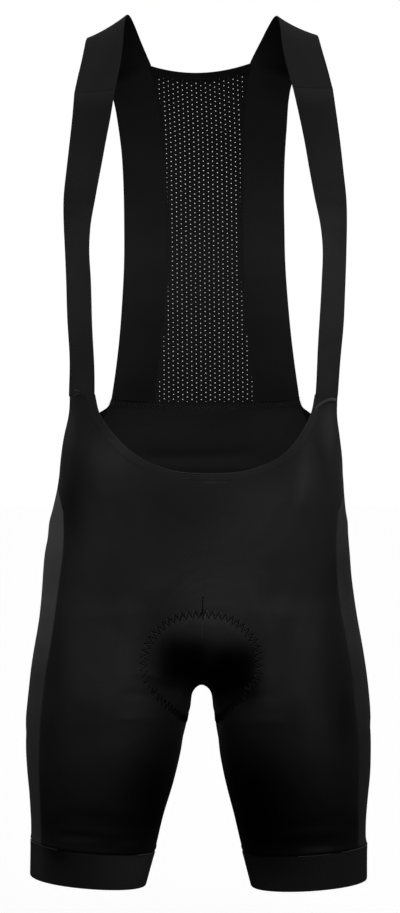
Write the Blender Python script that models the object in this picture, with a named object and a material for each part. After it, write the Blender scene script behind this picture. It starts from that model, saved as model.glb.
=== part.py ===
"""Cycling bib shorts, filled out as worn and held up at the shoulders.

The front faces -Y, +X is the wearer's left, +Z is up.  The origin is where the shoulders carry the
straps: midway between them, level with their highest point.
Every panel is a wall that follows one surface, figure(row, around): "row" counts the sections of
the figure from the shoulder blades down to the hem, "around" runs from the centre front (0) past
the side (0.5) to the centre back (1), and below the crotch from the inseam round to the inseam.
"""
from collections import namedtuple

import bmesh
import bpy
import numpy as np

MM = 0.001
OBJECT_NAME = "cycling_bib_shorts"

# Cloth thicknesses, in millimetres.
PANEL_WALL = 1.2
MESH_WALL = 1.0
STRAP_WALL = 1.5
BAND_WALL = 1.6
GRIPPER_WALL = 1.6
SEAM_PULL = 0.15            # each edge is drawn in by this, which leaves 0.3 mm at a seam
BAND_PROUD = 0.2            # how far bands stand out of the panels beside them
BAND_WIDTH = 8.0            # neckline bands

# Seat pad, in millimetres.
PAD_CLEARANCE = 1.2
PAD_CORE = 8.0
PAD_EDGE = 1.5

# Level sections of the trunk, 40 mm apart: half breadth, depth in front and behind the side line.
LEVEL_TOP = -30.0
LEVEL_STEP = 40.0
Level = namedtuple("Level", "half_breadth front back")
LEVELS = (
    Level(152.0, 80.0, 74.0), Level(158.0, 88.0, 90.0), Level(160.0, 94.0, 99.5),
    Level(160.0, 98.0, 106.0), Level(160.0, 100.0, 108.0), Level(160.0, 101.0, 105.5),
    Level(157.0, 101.0, 101.0), Level(153.0, 100.0, 95.0), Level(148.5, 99.0, 90.0),
    Level(144.5, 98.0, 86.0), Level(145.0, 99.0, 84.0), Level(146.0, 101.0, 87.0),
    Level(151.0, 104.0, 96.0), Level(155.8, 106.0, 108.0), Level(160.2, 105.0, 119.0),
)
LEVEL_REACH = 0.58          # how square a level section is at its centre lines
LEVEL_FAR = 0.60            # how square it is at the side, as a share of the depth there

# Sections that sink from the trunk to the crotch, in millimetres.  "lean" is how far a section
# runs out along the centre seam, "reach" how far it runs straight out from it, and "far" how far
# forward or back it leaves the side line.  Relaxing the figure draws the sides in by up to 4 mm
# between the seat and the thigh, and the half breadths there allow for it.
Seat = namedtuple("Seat", "side_z half_breadth front_y front_z back_y back_z "
                          "front_far back_far reach front_lean back_lean")
SEATS = (
    Seat(-625.0, 164.4, -98.0, -618.0, 124.0, -612.0, -81.0, 88.0, 95.0, 12.0, 12.0),
    Seat(-655.0, 170.0, -84.0, -645.0, 118.0, -640.0, -98.0, 103.0, 89.0, 34.0, 30.0),
    Seat(-680.0, 175.6, -60.0, -668.0, 95.0, -664.0, -110.0, 113.0, 74.0, 68.0, 59.0),
    Seat(-697.0, 178.0, -32.0, -682.0, 60.0, -681.0, -117.0, 123.0, 53.0, 99.0, 94.0),
    Seat(-710.0, 180.0, 6.0, -688.0, 6.0, -688.0, -124.0, 129.0, 32.0, 140.0, 154.0),
)

# Sections of one leg, from the crotch down; the last two are the gripper seam and the hem.
Leg = namedtuple("Leg", "side_z half_breadth in_x in_y in_z front_far back_far reach "
                        "front_lean back_lean")
LEGS = (
    Leg(-722.0, 181.4, 6.0, 6.0, -690.5, -126.0, 128.0, 20.0, 139.0, 154.0),
    Leg(-735.0, 182.2, 10.8, 5.0, -698.0, -126.0, 124.5, 14.0, 136.0, 153.0),
    Leg(-750.0, 181.8, 12.7, 4.0, -714.0, -125.5, 120.5, 9.0, 132.0, 149.0),
    Leg(-770.0, 178.6, 17.1, 2.0, -742.0, -124.0, 117.5, 4.0, 125.0, 140.0),
    Leg(-795.0, 174.6, 26.5, 0.0, -787.0, -120.0, 115.0, 0.0, 115.5, 127.0),
    Leg(-825.0, 172.3, 36.7, -2.0, -824.0, -112.0, 112.0, 0.0, 106.0, 112.5),
    Leg(-848.7, 172.5, 45.0, -3.0, -858.5, -106.0, 104.5, 0.0, 98.5, 106.5),
    Leg(-885.3, 173.0, 54.4, -4.0, -894.4, -97.0, 93.5, 0.0, 88.5, 96.5),
)
CROTCH = len(LEVELS) + len(SEATS) - 1
GRIPPER_ROW = CROTCH + len(LEGS) - 1
HEM_ROW = CROTCH + len(LEGS)
GIRTH = 400.0               # half the way round a section, for spacing points evenly
BLOCK_Z = -510.0            # the level where the shaped tops of the panels meet their plain rows
WAIST_JOIN_Z = -526.0       # bottom edge of the one-piece back waist

# The fine grid that the figure is kept on, and where it relaxes between seat and thigh (rows).
FINE_ROWS = 10              # grid lines for each section
FINE_AROUND = 160           # grid lines all the way round
RELAX_FROM = 15.0
RELAX_TO = 24.0
RELAX_FADE = 2.5
RELAX_MARGIN = 0.07         # share of the way round, beside the centre seams, that fades it out
RELAX_PASSES = 220

# Seams: distance from the centre plane, against the row.
FRONT_SEAM_ROWS = {12: 141.3, 13: 139.8, 14: 142.8, 15: 146.5, 16: 150.7, 17: 154.5, 18: 157.0,
                   19: 158.8, 21: 161.0, 23: 161.6, 26: 161.0, 27: 161.0}
BACK_SEAM_ROWS = {12: 118.5, 14: 121.0, 16: 124.0, 18: 127.0, 20: 130.5, 22: 134.0, 24: 137.0,
                  27: 139.5}
# The same seams and the armhole above the block level.  Side curves are seen from the side, as
# depth against height; the back seam is seen from behind, as distance from the centre plane.
SideSpot = namedtuple("SideSpot", "y z")
FRONT_SEAM_TOP = (SideSpot(0.0, -472.0), SideSpot(-10.0, -482.0), SideSpot(-28.0, -494.0))
BACK_SEAM = {-392.0: 98.7, -405.0: 102.5, -423.0: 109.5, -450.0: 114.5, -480.0: 117.0,
             -510.0: 118.5}
HORN_TOP_Z = -391.0
HORN_OUTER_X = 137.0
ARMHOLE_FRONT = (SideSpot(-34.0, -412.0), SideSpot(-26.0, -431.0), SideSpot(-13.0, -454.0),
                 SideSpot(0.0, -472.0))
ARMHOLE_REAR = (SideSpot(0.0, -472.0), SideSpot(8.0, -479.5), SideSpot(17.0, -482.0),
                SideSpot(26.0, -478.0), SideSpot(35.0, -466.0), SideSpot(45.0, -449.0),
                SideSpot(60.0, -425.0), SideSpot(70.0, -407.0))
# Front neckline: half width against level, from the centre out to the strap.
NECKLINE = ((0.0, -470.2), (20.0, -469.6), (40.6, -467.1), (53.8, -463.4), (70.5, -456.2),
            (82.7, -446.6), (96.4, -428.3), (106.2, -409.4), (111.0, -391.0))

# Back of the bib: level against the seam of the mesh and the armhole edge.
BackRow = namedtuple("BackRow", "x_in z_in x_out z_out")
BIB_BACK = (
    BackRow(50.3, -395.0, 98.7, -392.0), BackRow(48.4, -365.0, 95.0, -365.0),
    BackRow(44.6, -330.0, 91.0, -330.0), BackRow(40.0, -290.0, 87.8, -290.0),
    BackRow(38.4, -250.0, 85.6, -250.0), BackRow(38.4, -208.0, 85.1, -208.0),
    BackRow(39.0, -172.0, 85.2, -172.0), BackRow(40.2, -132.0, 86.7, -132.0),
    BackRow(41.8, -102.0, 89.2, -105.0), BackRow(45.0, -68.0, 92.4, -78.0),
    BackRow(48.6, -50.0, 95.2, -66.0), BackRow(52.0, -40.0, 98.2, -57.5),
)
BAND_BOTTOM_ROW = 10        # the back neck band fills the last step of that table
# Over the shoulder: inner and outer edge, from the neck corner to the seam on the front strap.
StrapRow = namedtuple("StrapRow", "x_in y_in z_in x_out y_out z_out")
SHOULDER = (
    StrapRow(56.2, 69.0, -31.0, 102.5, 55.0, -49.0),
    StrapRow(62.4, 56.0, -19.0, 107.5, 43.0, -40.0),
    StrapRow(69.0, 33.0, -6.5, 112.8, 26.0, -30.0),
    StrapRow(75.0, 0.0, 0.0, 117.0, 0.0, -22.0),
    StrapRow(77.6, -22.0, -4.5, 118.8, -17.0, -26.0),
    StrapRow(79.2, -42.0, -18.5, 120.3, -31.0, -36.0),
    StrapRow(80.4, -57.0, -38.0, 122.4, -42.5, -48.0),
    StrapRow(83.6, -68.5, -60.0, 126.2, -52.0, -65.0),
    StrapRow(89.1, -78.0, -85.0, 130.3, -62.0, -85.0),
)
# From that seam down the front, as far as the horn of the front panel.
STRAP = (
    SHOULDER[-1],
    StrapRow(93.8, -87.0, -112.0, 132.9, -70.5, -112.0),
    StrapRow(98.9, -95.0, -140.0, 135.8, -78.0, -140.0),
    StrapRow(103.1, -99.5, -165.0, 138.4, -81.5, -165.0),
    StrapRow(109.0, -101.0, -197.0, 141.6, -81.0, -197.0),
    StrapRow(114.3, -99.5, -225.0, 141.8, -76.0, -225.0),
    StrapRow(115.9, -97.0, -243.0, 141.3, -71.0, -243.0),
    StrapRow(114.8, -92.0, -281.0, 140.2, -64.5, -281.0),
    StrapRow(113.5, -86.0, -317.0, 139.2, -58.0, -317.0),
    StrapRow(111.8, -77.5, -355.0, 136.8, -49.0, -355.0),
)
STRAP_BOW = 1.8             # how far the middle of a strap stands out of its edges
WAIST_DIP = 4.0             # how far the back waist seam sags at the centre
NECK_DIP = 7.5              # how far the back neckline sags at the centre
MESH_DIP = 6.0              # how far the top of the mesh sags there, under the neck band

# Seat pad: half width, measured along the cloth from the centre seam or inseam, against the row.
PAD_FRONT = {14.74: 7.0, 14.9: 22.0, 15.3: 39.0, 16.0: 54.0, 17.0: 67.0, 18.0: 79.5, 19.0: 90.0,
             20.0: 80.0, 21.0: 62.0, 22.0: 34.0, 22.35: 12.0}
PAD_BACK = {12.95: 8.0, 13.15: 24.0, 13.6: 40.0, 14.3: 51.0, 15.0: 58.0, 16.0: 68.0, 17.0: 75.0,
            18.0: 77.0, 19.0: 74.0, 20.0: 65.0, 21.0: 48.0, 22.0: 25.0, 22.35: 8.0}

# The wearer stands with the weight on one leg and the hips turned a little.  Each row is a level's
# sideways shift at its side line, its front, its back and between the legs, and how far the level
# climbs towards the wearer's right for each millimetre sideways.
Stance = namedtuple("Stance", "z side front back inner rise", defaults=(0.0,))
STANCE = (
    Stance(0.0, -1.6, -1.0, -3.0, 0.0, 0.008), Stance(-55.0, -1.1, -0.9, -3.0, 0.0, -0.032),
    Stance(-110.0, 0.5, 1.4, -0.7, 0.0), Stance(-190.0, 1.1, 1.4, 0.7, 0.0),
    Stance(-275.0, 2.0, 2.7, 1.6, 0.0), Stance(-350.0, 1.6, 2.0, 2.3, 0.0),
    Stance(-400.0, -1.4, 2.5, 2.6, 0.0), Stance(-440.0, -2.6, 3.0, 1.5, 0.0),
    Stance(-480.0, -2.8, 2.9, -1.0, 0.0), Stance(-520.0, -5.4, 2.0, -4.5, 0.0),
    Stance(-560.0, -6.6, 1.0, -7.0, 0.0), Stance(-600.0, -6.0, 0.1, -8.0, 0.0),
    Stance(-650.0, -4.9, -0.4, -8.0, 1.2), Stance(-700.0, -5.4, -1.5, -7.5, 3.5),
    Stance(-750.0, -5.6, -3.0, -7.0, 2.6), Stance(-800.0, -5.2, -4.0, -6.0, 1.2),
    Stance(-850.0, -5.1, -4.5, -5.5, 0.1, 0.009), Stance(-900.0, -5.2, -4.7, -5.5, 0.0, 0.010),
)
STANCE_FRONT = (-40.0, -100.0)      # depths from which and at which a level shifts as its front does
STANCE_BACK = 90.0                  # depth at which it shifts as its back does
STANCE_INNER = 45.0                 # how far from the centre plane the shift between the legs dies out

# How finely each piece is divided.
FRONT_COLUMNS = 12          # of which the horn under the strap has the outer three
HORN_COLUMNS = 3
SIDE_COLUMNS = 8
BACK_COLUMNS = 10
BACK_CROWDING = 1.4         # how much closer the back columns stand beside the centre seam
ARMHOLE_ROWS = 7            # from the horn to the side panel
SEAM_ROWS = 3               # from there to the block level
FINE_ROW_STEP = 0.5         # down to the foot of the pad, and whole rows below it
FINE_STEP_END = 22.0
GRIPPER_ROWS = 3
GRIPPER_COLUMNS = 32
NECKLINE_STEPS = 24
BIB_ROWS = 14
BAND_ROWS = 2
SHOULDER_ROWS = 13
BIB_SIDE_COLUMNS = 4
MESH_COLUMNS = 6            # to each side of the centre
STRAP_ROWS = 17
STRAP_COLUMNS = 3
PAD_COLUMNS = 6
PAD_EXTRA_ROWS = (17.5, 18.5, 19.5, 20.5, 21.5)
RING_WELD = 0.01            # points closer than this are one, in millimetres


# ---------------------------------------------------------------- curves

def slopes(values, params, flat_first=(), flat_last=()):
    """Tangents of a smooth curve through rows of values; listed columns run level at an end."""
    tangent = np.gradient(values, params, axis=0)
    tangent[0, list(flat_first)] = 0.0
    tangent[-1, list(flat_last)] = 0.0
    return tangent


def smooth(values, params, at, tangent=None):
    """Cubic curve through rows of values at params, read at the given parameters."""
    values = np.asarray(values, float).reshape(len(params), -1)
    params = np.asarray(params, float)
    if tangent is None:
        tangent = slopes(values, params)
    at = np.asarray(at, float)
    low = np.clip(np.searchsorted(params, at, side="right") - 1, 0, len(params) - 2)
    span = params[low + 1] - params[low]
    u = ((at - params[low]) / span)[..., None]
    span = span[..., None]
    return ((2 * u**3 - 3 * u**2 + 1) * values[low] + (u**3 - 2 * u**2 + u) * span * tangent[low]
            + (3 * u**2 - 2 * u**3) * values[low + 1] + (u**3 - u**2) * span * tangent[low + 1])


def read_table(table, at):
    """One smooth column, kept as {place: value}, read at the given places."""
    places = sorted(table)
    return smooth([table[p] for p in places], places, at)[..., 0]


def resample(points, count, ends=None):
    """Count + 1 points spaced evenly along a smooth curve through the given points."""
    points = np.asarray(points, float)
    along = np.concatenate(([0.0], np.cumsum(np.linalg.norm(np.diff(points, axis=0), axis=1))))
    first, last = ends or (0.0, along[-1])
    return smooth(points, along, np.linspace(first, last, count + 1))


def unit(vectors):
    """Vectors scaled to length 1."""
    return vectors / np.maximum(np.linalg.norm(vectors, axis=-1, keepdims=True), 1e-12)


# ---------------------------------------------------------------- the figure

def level_of(row):
    """Height of a level section."""
    return LEVEL_TOP - LEVEL_STEP * row


def row_of(z):
    """Row number of a height on the level part of the trunk."""
    return (LEVEL_TOP - z) / LEVEL_STEP


def body_table():
    """Columns half_breadth, side_z, front_far, back_far, reach, front_lean, back_lean; all rows."""
    rows = [(lv.half_breadth, level_of(i), -LEVEL_FAR * lv.front, LEVEL_FAR * lv.back,
             LEVEL_REACH * lv.half_breadth, 0.0, 0.0) for i, lv in enumerate(LEVELS)]
    rows += [(r.half_breadth, r.side_z, r.front_far, r.back_far, r.reach, r.front_lean, r.back_lean)
             for r in SEATS + LEGS]
    return np.array(rows)


def centre_table():
    """Columns front_y, front_z, back_y, back_z of the centre seam, down to the crotch."""
    rows = [(-lv.front, level_of(i), lv.back, level_of(i)) for i, lv in enumerate(LEVELS)]
    rows += [(st.front_y, st.front_z, st.back_y, st.back_z) for st in SEATS]
    return np.array(rows)


def inseam_table():
    """Columns x, y, z of the inseam, from the crotch down."""
    rows = [(0.0, SEATS[-1].front_y, SEATS[-1].front_z)]
    rows += [(lg.in_x, lg.in_y, lg.in_z) for lg in LEGS]
    return np.array(rows)


BODY = body_table()
BODY_ROWS = np.arange(HEM_ROW + 1, dtype=float)
CENTRE = centre_table()
CENTRE_ROWS = np.arange(CROTCH + 1, dtype=float)
CENTRE_SLOPES = slopes(CENTRE, CENTRE_ROWS, flat_last=(1, 3))
INSEAM = inseam_table()
INSEAM_ROWS = np.arange(CROTCH, HEM_ROW + 1, dtype=float)
INSEAM_SLOPES = slopes(INSEAM, INSEAM_ROWS, flat_first=(1, 2))
SLOPE_STEP = 1e-3
NORMAL_STEP = 0.02          # rows, and a tenth of it round the section
HALVINGS = 40               # steps of a search for the place that has a given coordinate


def centre_points(row, half):
    """Centre seam points at fractional rows; half is 0 in front, 1 behind."""
    found = smooth(CENTRE, CENTRE_ROWS, row, CENTRE_SLOPES)[..., 2 * half:2 * half + 2]
    return np.concatenate((np.zeros_like(found[..., :1]), found), -1)


def section_ends(row, half):
    """Centre point of half a section, and the handle with which the section leaves it."""
    body = smooth(BODY, BODY_ROWS, row)
    reach, lean = body[..., 4, None], body[..., 5 + half, None]
    upper = np.clip(row, SLOPE_STEP, CROTCH)
    lower = np.clip(row, CROTCH, HEM_ROW)
    along = unit(centre_points(upper, half) - centre_points(upper - SLOPE_STEP, half))
    inseam = smooth(INSEAM, INSEAM_ROWS, lower, INSEAM_SLOPES)
    down = unit(smooth(INSEAM, INSEAM_ROWS, lower + SLOPE_STEP, INSEAM_SLOPES) - inseam)
    outward = np.array((1.0, 0.0, 0.0))
    ahead = np.array((0.0, 2.0 * half - 1.0, 0.0))
    on_leg = (row > CROTCH)[..., None]
    centre = np.where(on_leg, inseam, centre_points(upper, half))
    handle = np.where(on_leg, reach * down + lean * ahead, reach * outward - lean * along)
    return centre, handle, body


def drawn_figure(row, around):
    """Points of the figure as its sections give them, in millimetres."""
    halves = []
    for half in (0, 1):
        centre, handle, body = section_ends(row, half)
        near = centre + handle
        side = np.stack((body[..., 0], np.zeros_like(row), body[..., 1]), -1)
        far = np.stack((body[..., 0], body[..., 2 + half], body[..., 1]), -1)
        u = (2.0 * around if half == 0 else 2.0 - 2.0 * around)[..., None]
        halves.append((1 - u)**3 * centre + 3 * u * (1 - u)**2 * near + 3 * u**2 * (1 - u) * far
                      + u**3 * side)
    return np.where((around > 0.5)[..., None], halves[1], halves[0])


def relaxed_grid():
    """The figure on a fine grid, relaxed where cloth bridges the fold between seat and thigh."""
    row = np.arange(HEM_ROW * FINE_ROWS + 1) / FINE_ROWS
    around = np.linspace(0.0, 1.0, FINE_AROUND + 1)
    row, around = np.broadcast_arrays(row[:, None], around[None])
    grid = drawn_figure(row, around)
    from_centre = np.clip(np.minimum(around, 1.0 - around) / RELAX_MARGIN, 0.0, 1.0)
    from_ends = np.clip(np.minimum(row - RELAX_FROM, RELAX_TO - row) / RELAX_FADE, 0.0, 1.0)
    weight = 0.5 * from_centre**2 * (3 - 2 * from_centre) * from_ends**2 * (3 - 2 * from_ends)
    weight = weight[1:-1, 1:-1, None]
    for _ in range(RELAX_PASSES):
        around_it = 0.25 * (grid[:-2, 1:-1] + grid[2:, 1:-1] + grid[1:-1, :-2] + grid[1:-1, 2:])
        grid[1:-1, 1:-1] += weight * (around_it - grid[1:-1, 1:-1])
    return grid


GRID = relaxed_grid()


def cubic_shares(u):
    """Shares of four evenly spaced neighbours in a smooth curve between the middle two."""
    return (0.5 * (-u + 2 * u**2 - u**3), 0.5 * (2 - 5 * u**2 + 3 * u**3),
            0.5 * (u + 4 * u**2 - 3 * u**3), 0.5 * (u**3 - u**2))


def figure(row, around):
    """Points of the relaxed figure, in millimetres, on the wearer's left half."""
    row, around = np.broadcast_arrays(np.asarray(row, float), np.asarray(around, float))
    line = np.clip(row, 0.0, HEM_ROW) * FINE_ROWS
    place = np.clip(around, 0.0, 1.0) * FINE_AROUND
    i = np.clip(np.floor(line + 1e-9).astype(int), 0, HEM_ROW * FINE_ROWS - 1)
    j = np.clip(np.floor(place + 1e-9).astype(int), 0, FINE_AROUND - 1)
    corner = CROTCH * FINE_ROWS
    lowest = np.where(i >= corner, corner, 0)
    highest = np.where(i >= corner, HEM_ROW * FINE_ROWS, corner)
    total = 0.0
    for di, share_i in enumerate(cubic_shares(line - i), start=-1):
        for dj, share_j in enumerate(cubic_shares(place - j), start=-1):
            rows = np.clip(i + di, lowest, highest)
            places = np.clip(j + dj, 0, FINE_AROUND)
            total = total + (share_i * share_j)[..., None] * GRID[rows, places]
    return total


def surface_normals(surface, first, second, step_first, step_second):
    """Outward normals of surface(first, second) from small steps that stay inside its range."""
    along_first = surface(first + step_first, second) - surface(first - step_first, second)
    along_second = surface(first, second + step_second) - surface(first, second - step_second)
    return unit(np.cross(along_first, along_second))


def figure_normals(row, around):
    """Outward normals of the figure; beside the crotch row the step stays on its own side."""
    row, around = np.broadcast_arrays(np.asarray(row, float), np.asarray(around, float))
    step, small = NORMAL_STEP, 0.1 * NORMAL_STEP
    safe_row = np.where(np.abs(row - CROTCH) < step, CROTCH - 1.01 * step, row)
    safe_row = np.clip(safe_row, step, HEM_ROW - step)
    return surface_normals(figure, safe_row, np.clip(around, small, 1.0 - small), step, small)


def around_of(row, x, behind=False):
    """Where a section passes a distance from the centre plane, on its front or back half."""
    row, x = np.broadcast_arrays(np.asarray(row, float), np.asarray(x, float))
    centre, side = (1.0, 0.5) if behind else (0.0, 0.5)
    low = np.full(row.shape, centre)
    high = np.full(row.shape, side)
    for _ in range(HALVINGS):
        middle = 0.5 * (low + high)
        inside = figure(row, middle)[..., 0] < x
        low = np.where(inside, middle, low)
        high = np.where(inside, high, middle)
    return 0.5 * (low + high)


# ---------------------------------------------------------------- stance

def ease(share):
    """A soft step from 0 to 1 as share goes from 0 to 1."""
    share = np.clip(share, 0.0, 1.0)
    return share**2 * (3 - 2 * share)


def stand(points):
    """Points of the even, upright garment moved to the stance it is worn in."""
    table = np.array(STANCE)
    level = np.clip(-points[..., 2], 0.0, -table[-1, 0])
    side, front, back, inner, rise = np.moveaxis(smooth(table[:, 1:], -table[:, 0], level), -1, 0)
    ahead = ease((points[..., 1] - STANCE_FRONT[0]) / (STANCE_FRONT[1] - STANCE_FRONT[0]))
    behind = ease(points[..., 1] / STANCE_BACK)
    shift = side + (front - side) * ahead + (back - side) * behind
    shift = shift + inner * np.exp(-(points[..., 0] / STANCE_INNER)**2)
    return points + np.stack((shift, np.zeros_like(shift), -rise * points[..., 0]), -1)


# ---------------------------------------------------------------- walls

def draw_in(points, pull):
    """Draw the edges of a grid in: pull is (first row, last row, first column, last column)."""
    moved = points.copy()
    edges = ((np.s_[0, :], np.s_[1, :]), (np.s_[-1, :], np.s_[-2, :]),
             (np.s_[:, 0], np.s_[:, 1]), (np.s_[:, -1], np.s_[:, -2]))
    for (edge, inner), amount in zip(edges, pull):
        moved[edge] += unit(points[inner] - points[edge]) * amount
    return moved


def add_sheet(bm, points, normals, thickness, mirrored=False):
    """Add one grid of points to a mesh, with each point's inward step kept beside it."""
    rows, columns = points.shape[:2]
    flip = np.array((-1.0, 1.0, 1.0)) if mirrored else np.ones(3)
    depth = np.broadcast_to(thickness, (rows, columns))[..., None]
    outer = stand(points * flip)
    inward = stand((points - normals * depth) * flip) - outer
    layers = bm.verts.layers.float_vector
    step_layer = layers.get("inward") or layers.new("inward")
    made = bmesh.ops.create_grid(bm, x_segments=columns - 1, y_segments=rows - 1, size=1.0)["verts"]
    for vert, place, step in zip(made, outer.reshape(-1, 3), inward.reshape(-1, 3)):
        vert.co = place * MM
        vert[step_layer] = step * MM


def finish_wall(name, bm, material, collection):
    """Weld the sheets, give them their thickness and make the object."""
    bmesh.ops.remove_doubles(bm, verts=bm.verts, dist=RING_WELD * MM)
    step_layer = bm.verts.layers.float_vector["inward"]
    inner = bmesh.ops.extrude_face_region(bm, geom=bm.faces[:])["geom"]
    for element in inner:
        if isinstance(element, bmesh.types.BMVert):
            element.co += element[step_layer]
    bmesh.ops.recalc_face_normals(bm, faces=bm.faces)
    mesh = bpy.data.meshes.new(name)
    bm.to_mesh(mesh)
    bm.free()
    mesh.shade_smooth()
    mesh.set_sharp_from_angle(angle=np.radians(50.0))
    mesh.materials.append(material)
    obj = bpy.data.objects.new(name, mesh)
    collection.objects.link(obj)


def wall(name, points, normals, thickness, material, collection, mirrored=False):
    """One panel: a closed wall behind a grid of outer points, a ring where its sides meet."""
    bm = bmesh.new()
    add_sheet(bm, points, normals, thickness, mirrored)
    finish_wall(name, bm, material, collection)


def patch(left, right, top, bottom):
    """Grid of places inside four edges, each a list of places that meets its neighbours."""
    rows, columns = len(left), len(top)
    v = np.linspace(0.0, 1.0, rows)[:, None, None]
    u = np.linspace(0.0, 1.0, columns)[None, :, None]
    left, right, top, bottom = (np.asarray(edge, float) for edge in (left, right, top, bottom))
    ruled = (1 - u) * left[:, None] + u * right[:, None] + (1 - v) * top[None] + v * bottom[None]
    corners = ((1 - u) * (1 - v) * top[0] + u * (1 - v) * top[-1] + (1 - u) * v * bottom[0]
               + u * v * bottom[-1])
    return ruled - corners


# ---------------------------------------------------------------- seams on the figure

def lower_rows():
    """Rows shared by the front, side and back panels, from the block level to the gripper."""
    upper = np.arange(row_of(BLOCK_Z), FINE_STEP_END, FINE_ROW_STEP)
    return np.concatenate((upper, np.arange(FINE_STEP_END, GRIPPER_ROW + 1)))


def front_seam_around(rows):
    """Front and side panels meet here, below the block level."""
    return around_of(rows, read_table(FRONT_SEAM_ROWS, rows))


def back_seam_around(rows):
    """Side and back panels meet here, below the block level."""
    return around_of(rows, read_table(BACK_SEAM_ROWS, rows), behind=True)


def level_places(xs, zs, behind):
    """Places (row, around) of points given by distance from the centre plane and height."""
    rows = row_of(np.asarray(zs, float))
    return np.stack((rows, around_of(rows, xs, behind)), -1)


def side_places_of(spots):
    """Places (row, around) of points given by depth and height, beside the side line."""
    rows = row_of(np.array([spot.z for spot in spots]))
    low, high = np.full(rows.shape, 0.25), np.full(rows.shape, 0.80)
    for _ in range(HALVINGS):
        middle = 0.5 * (low + high)
        ahead = figure(rows, middle)[..., 1] < np.array([spot.y for spot in spots])
        low, high = np.where(ahead, middle, low), np.where(ahead, high, middle)
    return np.stack((rows, 0.5 * (low + high)), -1)


def edge_places(places, count):
    """Evenly spaced places along a smooth edge."""
    stretch = np.array((LEVEL_STEP, GIRTH))
    return resample(places * stretch, count) / stretch


def front_seam_top():
    """Front seam from the armhole down to the block level."""
    block = row_of(BLOCK_Z)
    foot = (block, front_seam_around(np.array(block)))
    return edge_places(np.vstack((side_places_of(FRONT_SEAM_TOP), foot)), SEAM_ROWS)


def back_seam_top():
    """Back seam from the armhole's rear corner down to the block level."""
    zs = np.linspace(max(BACK_SEAM), BLOCK_Z, SEAM_ROWS + 1)
    return level_places(read_table(BACK_SEAM, zs), zs, True)


def neckline_points(count, inset):
    """Front neckline from the centre to the strap, moved down into the cloth by inset."""
    curve = resample(NECKLINE, NECKLINE_STEPS)
    tangent = unit(np.gradient(curve, axis=0))
    moved = curve + inset * np.stack((tangent[:, 1], -tangent[:, 0]), -1)
    moved[0, 0] = 0.0
    moved = moved[moved[:, 1] < HORN_TOP_Z - 1.0]
    end = moved[-1] + (HORN_TOP_Z - moved[-1, 1]) * tangent[-1] / tangent[-1, 1]
    return resample(np.vstack((moved, end)), count)


# ---------------------------------------------------------------- panels

def front_places():
    """Grid of places of the wearer's left front panel, neckline to gripper seam."""
    neck = neckline_points(FRONT_COLUMNS - HORN_COLUMNS, BAND_WIDTH)
    horn_x = np.linspace(neck[-1, 0], HORN_OUTER_X, HORN_COLUMNS + 1)[1:]
    top = np.vstack((level_places(neck[:, 0], neck[:, 1], False),
                     level_places(horn_x, np.full(HORN_COLUMNS, HORN_TOP_Z), False)))
    armhole = edge_places(np.vstack((top[-1], side_places_of(ARMHOLE_FRONT))), ARMHOLE_ROWS)
    right = np.vstack((armhole, front_seam_top()[1:]))
    block = row_of(BLOCK_Z)
    left = np.stack((np.linspace(top[0, 0], block, len(right)), np.zeros(len(right))), -1)
    bottom = np.stack((np.full(len(top), block), np.linspace(0.0, right[-1, 1], len(top))), -1)
    upper = patch(left, right, top, bottom)
    rows = lower_rows()[1:]
    around = front_seam_around(rows)[:, None] * np.linspace(0.0, 1.0, len(top))
    lower = np.stack(np.broadcast_arrays(rows[:, None], around), -1)
    return np.concatenate((upper, lower))


def side_places():
    """Grid of places of a side panel, armhole to gripper seam."""
    left = front_seam_top()
    right = back_seam_top()
    top = edge_places(np.vstack((side_places_of(ARMHOLE_REAR), right[0])), SIDE_COLUMNS)
    bottom = np.stack((np.full(len(top), row_of(BLOCK_Z)),
                       np.linspace(left[-1, 1], right[-1, 1], len(top))), -1)
    upper = patch(left, right, top, bottom)
    rows = lower_rows()[1:]
    first = front_seam_around(rows)[:, None]
    last = back_seam_around(rows)[:, None]
    share = np.linspace(0.0, 1.0, len(top))
    lower = np.stack(np.broadcast_arrays(rows[:, None], first + (last - first) * share), -1)
    return np.concatenate((upper, lower))


def back_places():
    """Grid of places of a back panel, from the back waist to the gripper seam."""
    rows = lower_rows()
    rows = np.concatenate(([row_of(WAIST_JOIN_Z)], rows[rows > row_of(WAIST_JOIN_Z) + 0.05]))
    first = back_seam_around(rows)[:, None]
    share = 1.0 - np.linspace(1.0, 0.0, BACK_COLUMNS + 1)**BACK_CROWDING
    return np.stack(np.broadcast_arrays(rows[:, None], first + (1.0 - first) * share), -1)


def waist_heights():
    """Heights of the back waist's side edges: they follow the side panel's points."""
    return np.concatenate((np.linspace(max(BACK_SEAM), BLOCK_Z, SEAM_ROWS + 1), [WAIST_JOIN_Z]))


def surface_at(places):
    """Points and normals of the figure at places (row, around)."""
    return (figure(places[..., 0], places[..., 1]),
            figure_normals(places[..., 0], places[..., 1]))


def make_panels(cloth, collection):
    """Front, side and back panels, a left and a right of each."""
    for name, places, slot in (("front", front_places(), "panel"), ("side", side_places(), "side"),
                               ("back", back_places(), "panel")):
        points, normals = surface_at(places)
        points = draw_in(points, (SEAM_PULL,) * 4)
        for side, mirrored in (("left", False), ("right", True)):
            wall(f"{name}_{side}", points, normals, PANEL_WALL, cloth[slot], collection, mirrored)


def mirrored_grid(half_points, half_normals):
    """A whole piece from its left half, whose first column lies on the centre plane."""
    flip = np.array((-1.0, 1.0, 1.0))
    points = np.concatenate((half_points[:, :0:-1] * flip, half_points), axis=1)
    normals = np.concatenate((half_normals[:, :0:-1] * flip, half_normals), axis=1)
    return points, normals


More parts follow.
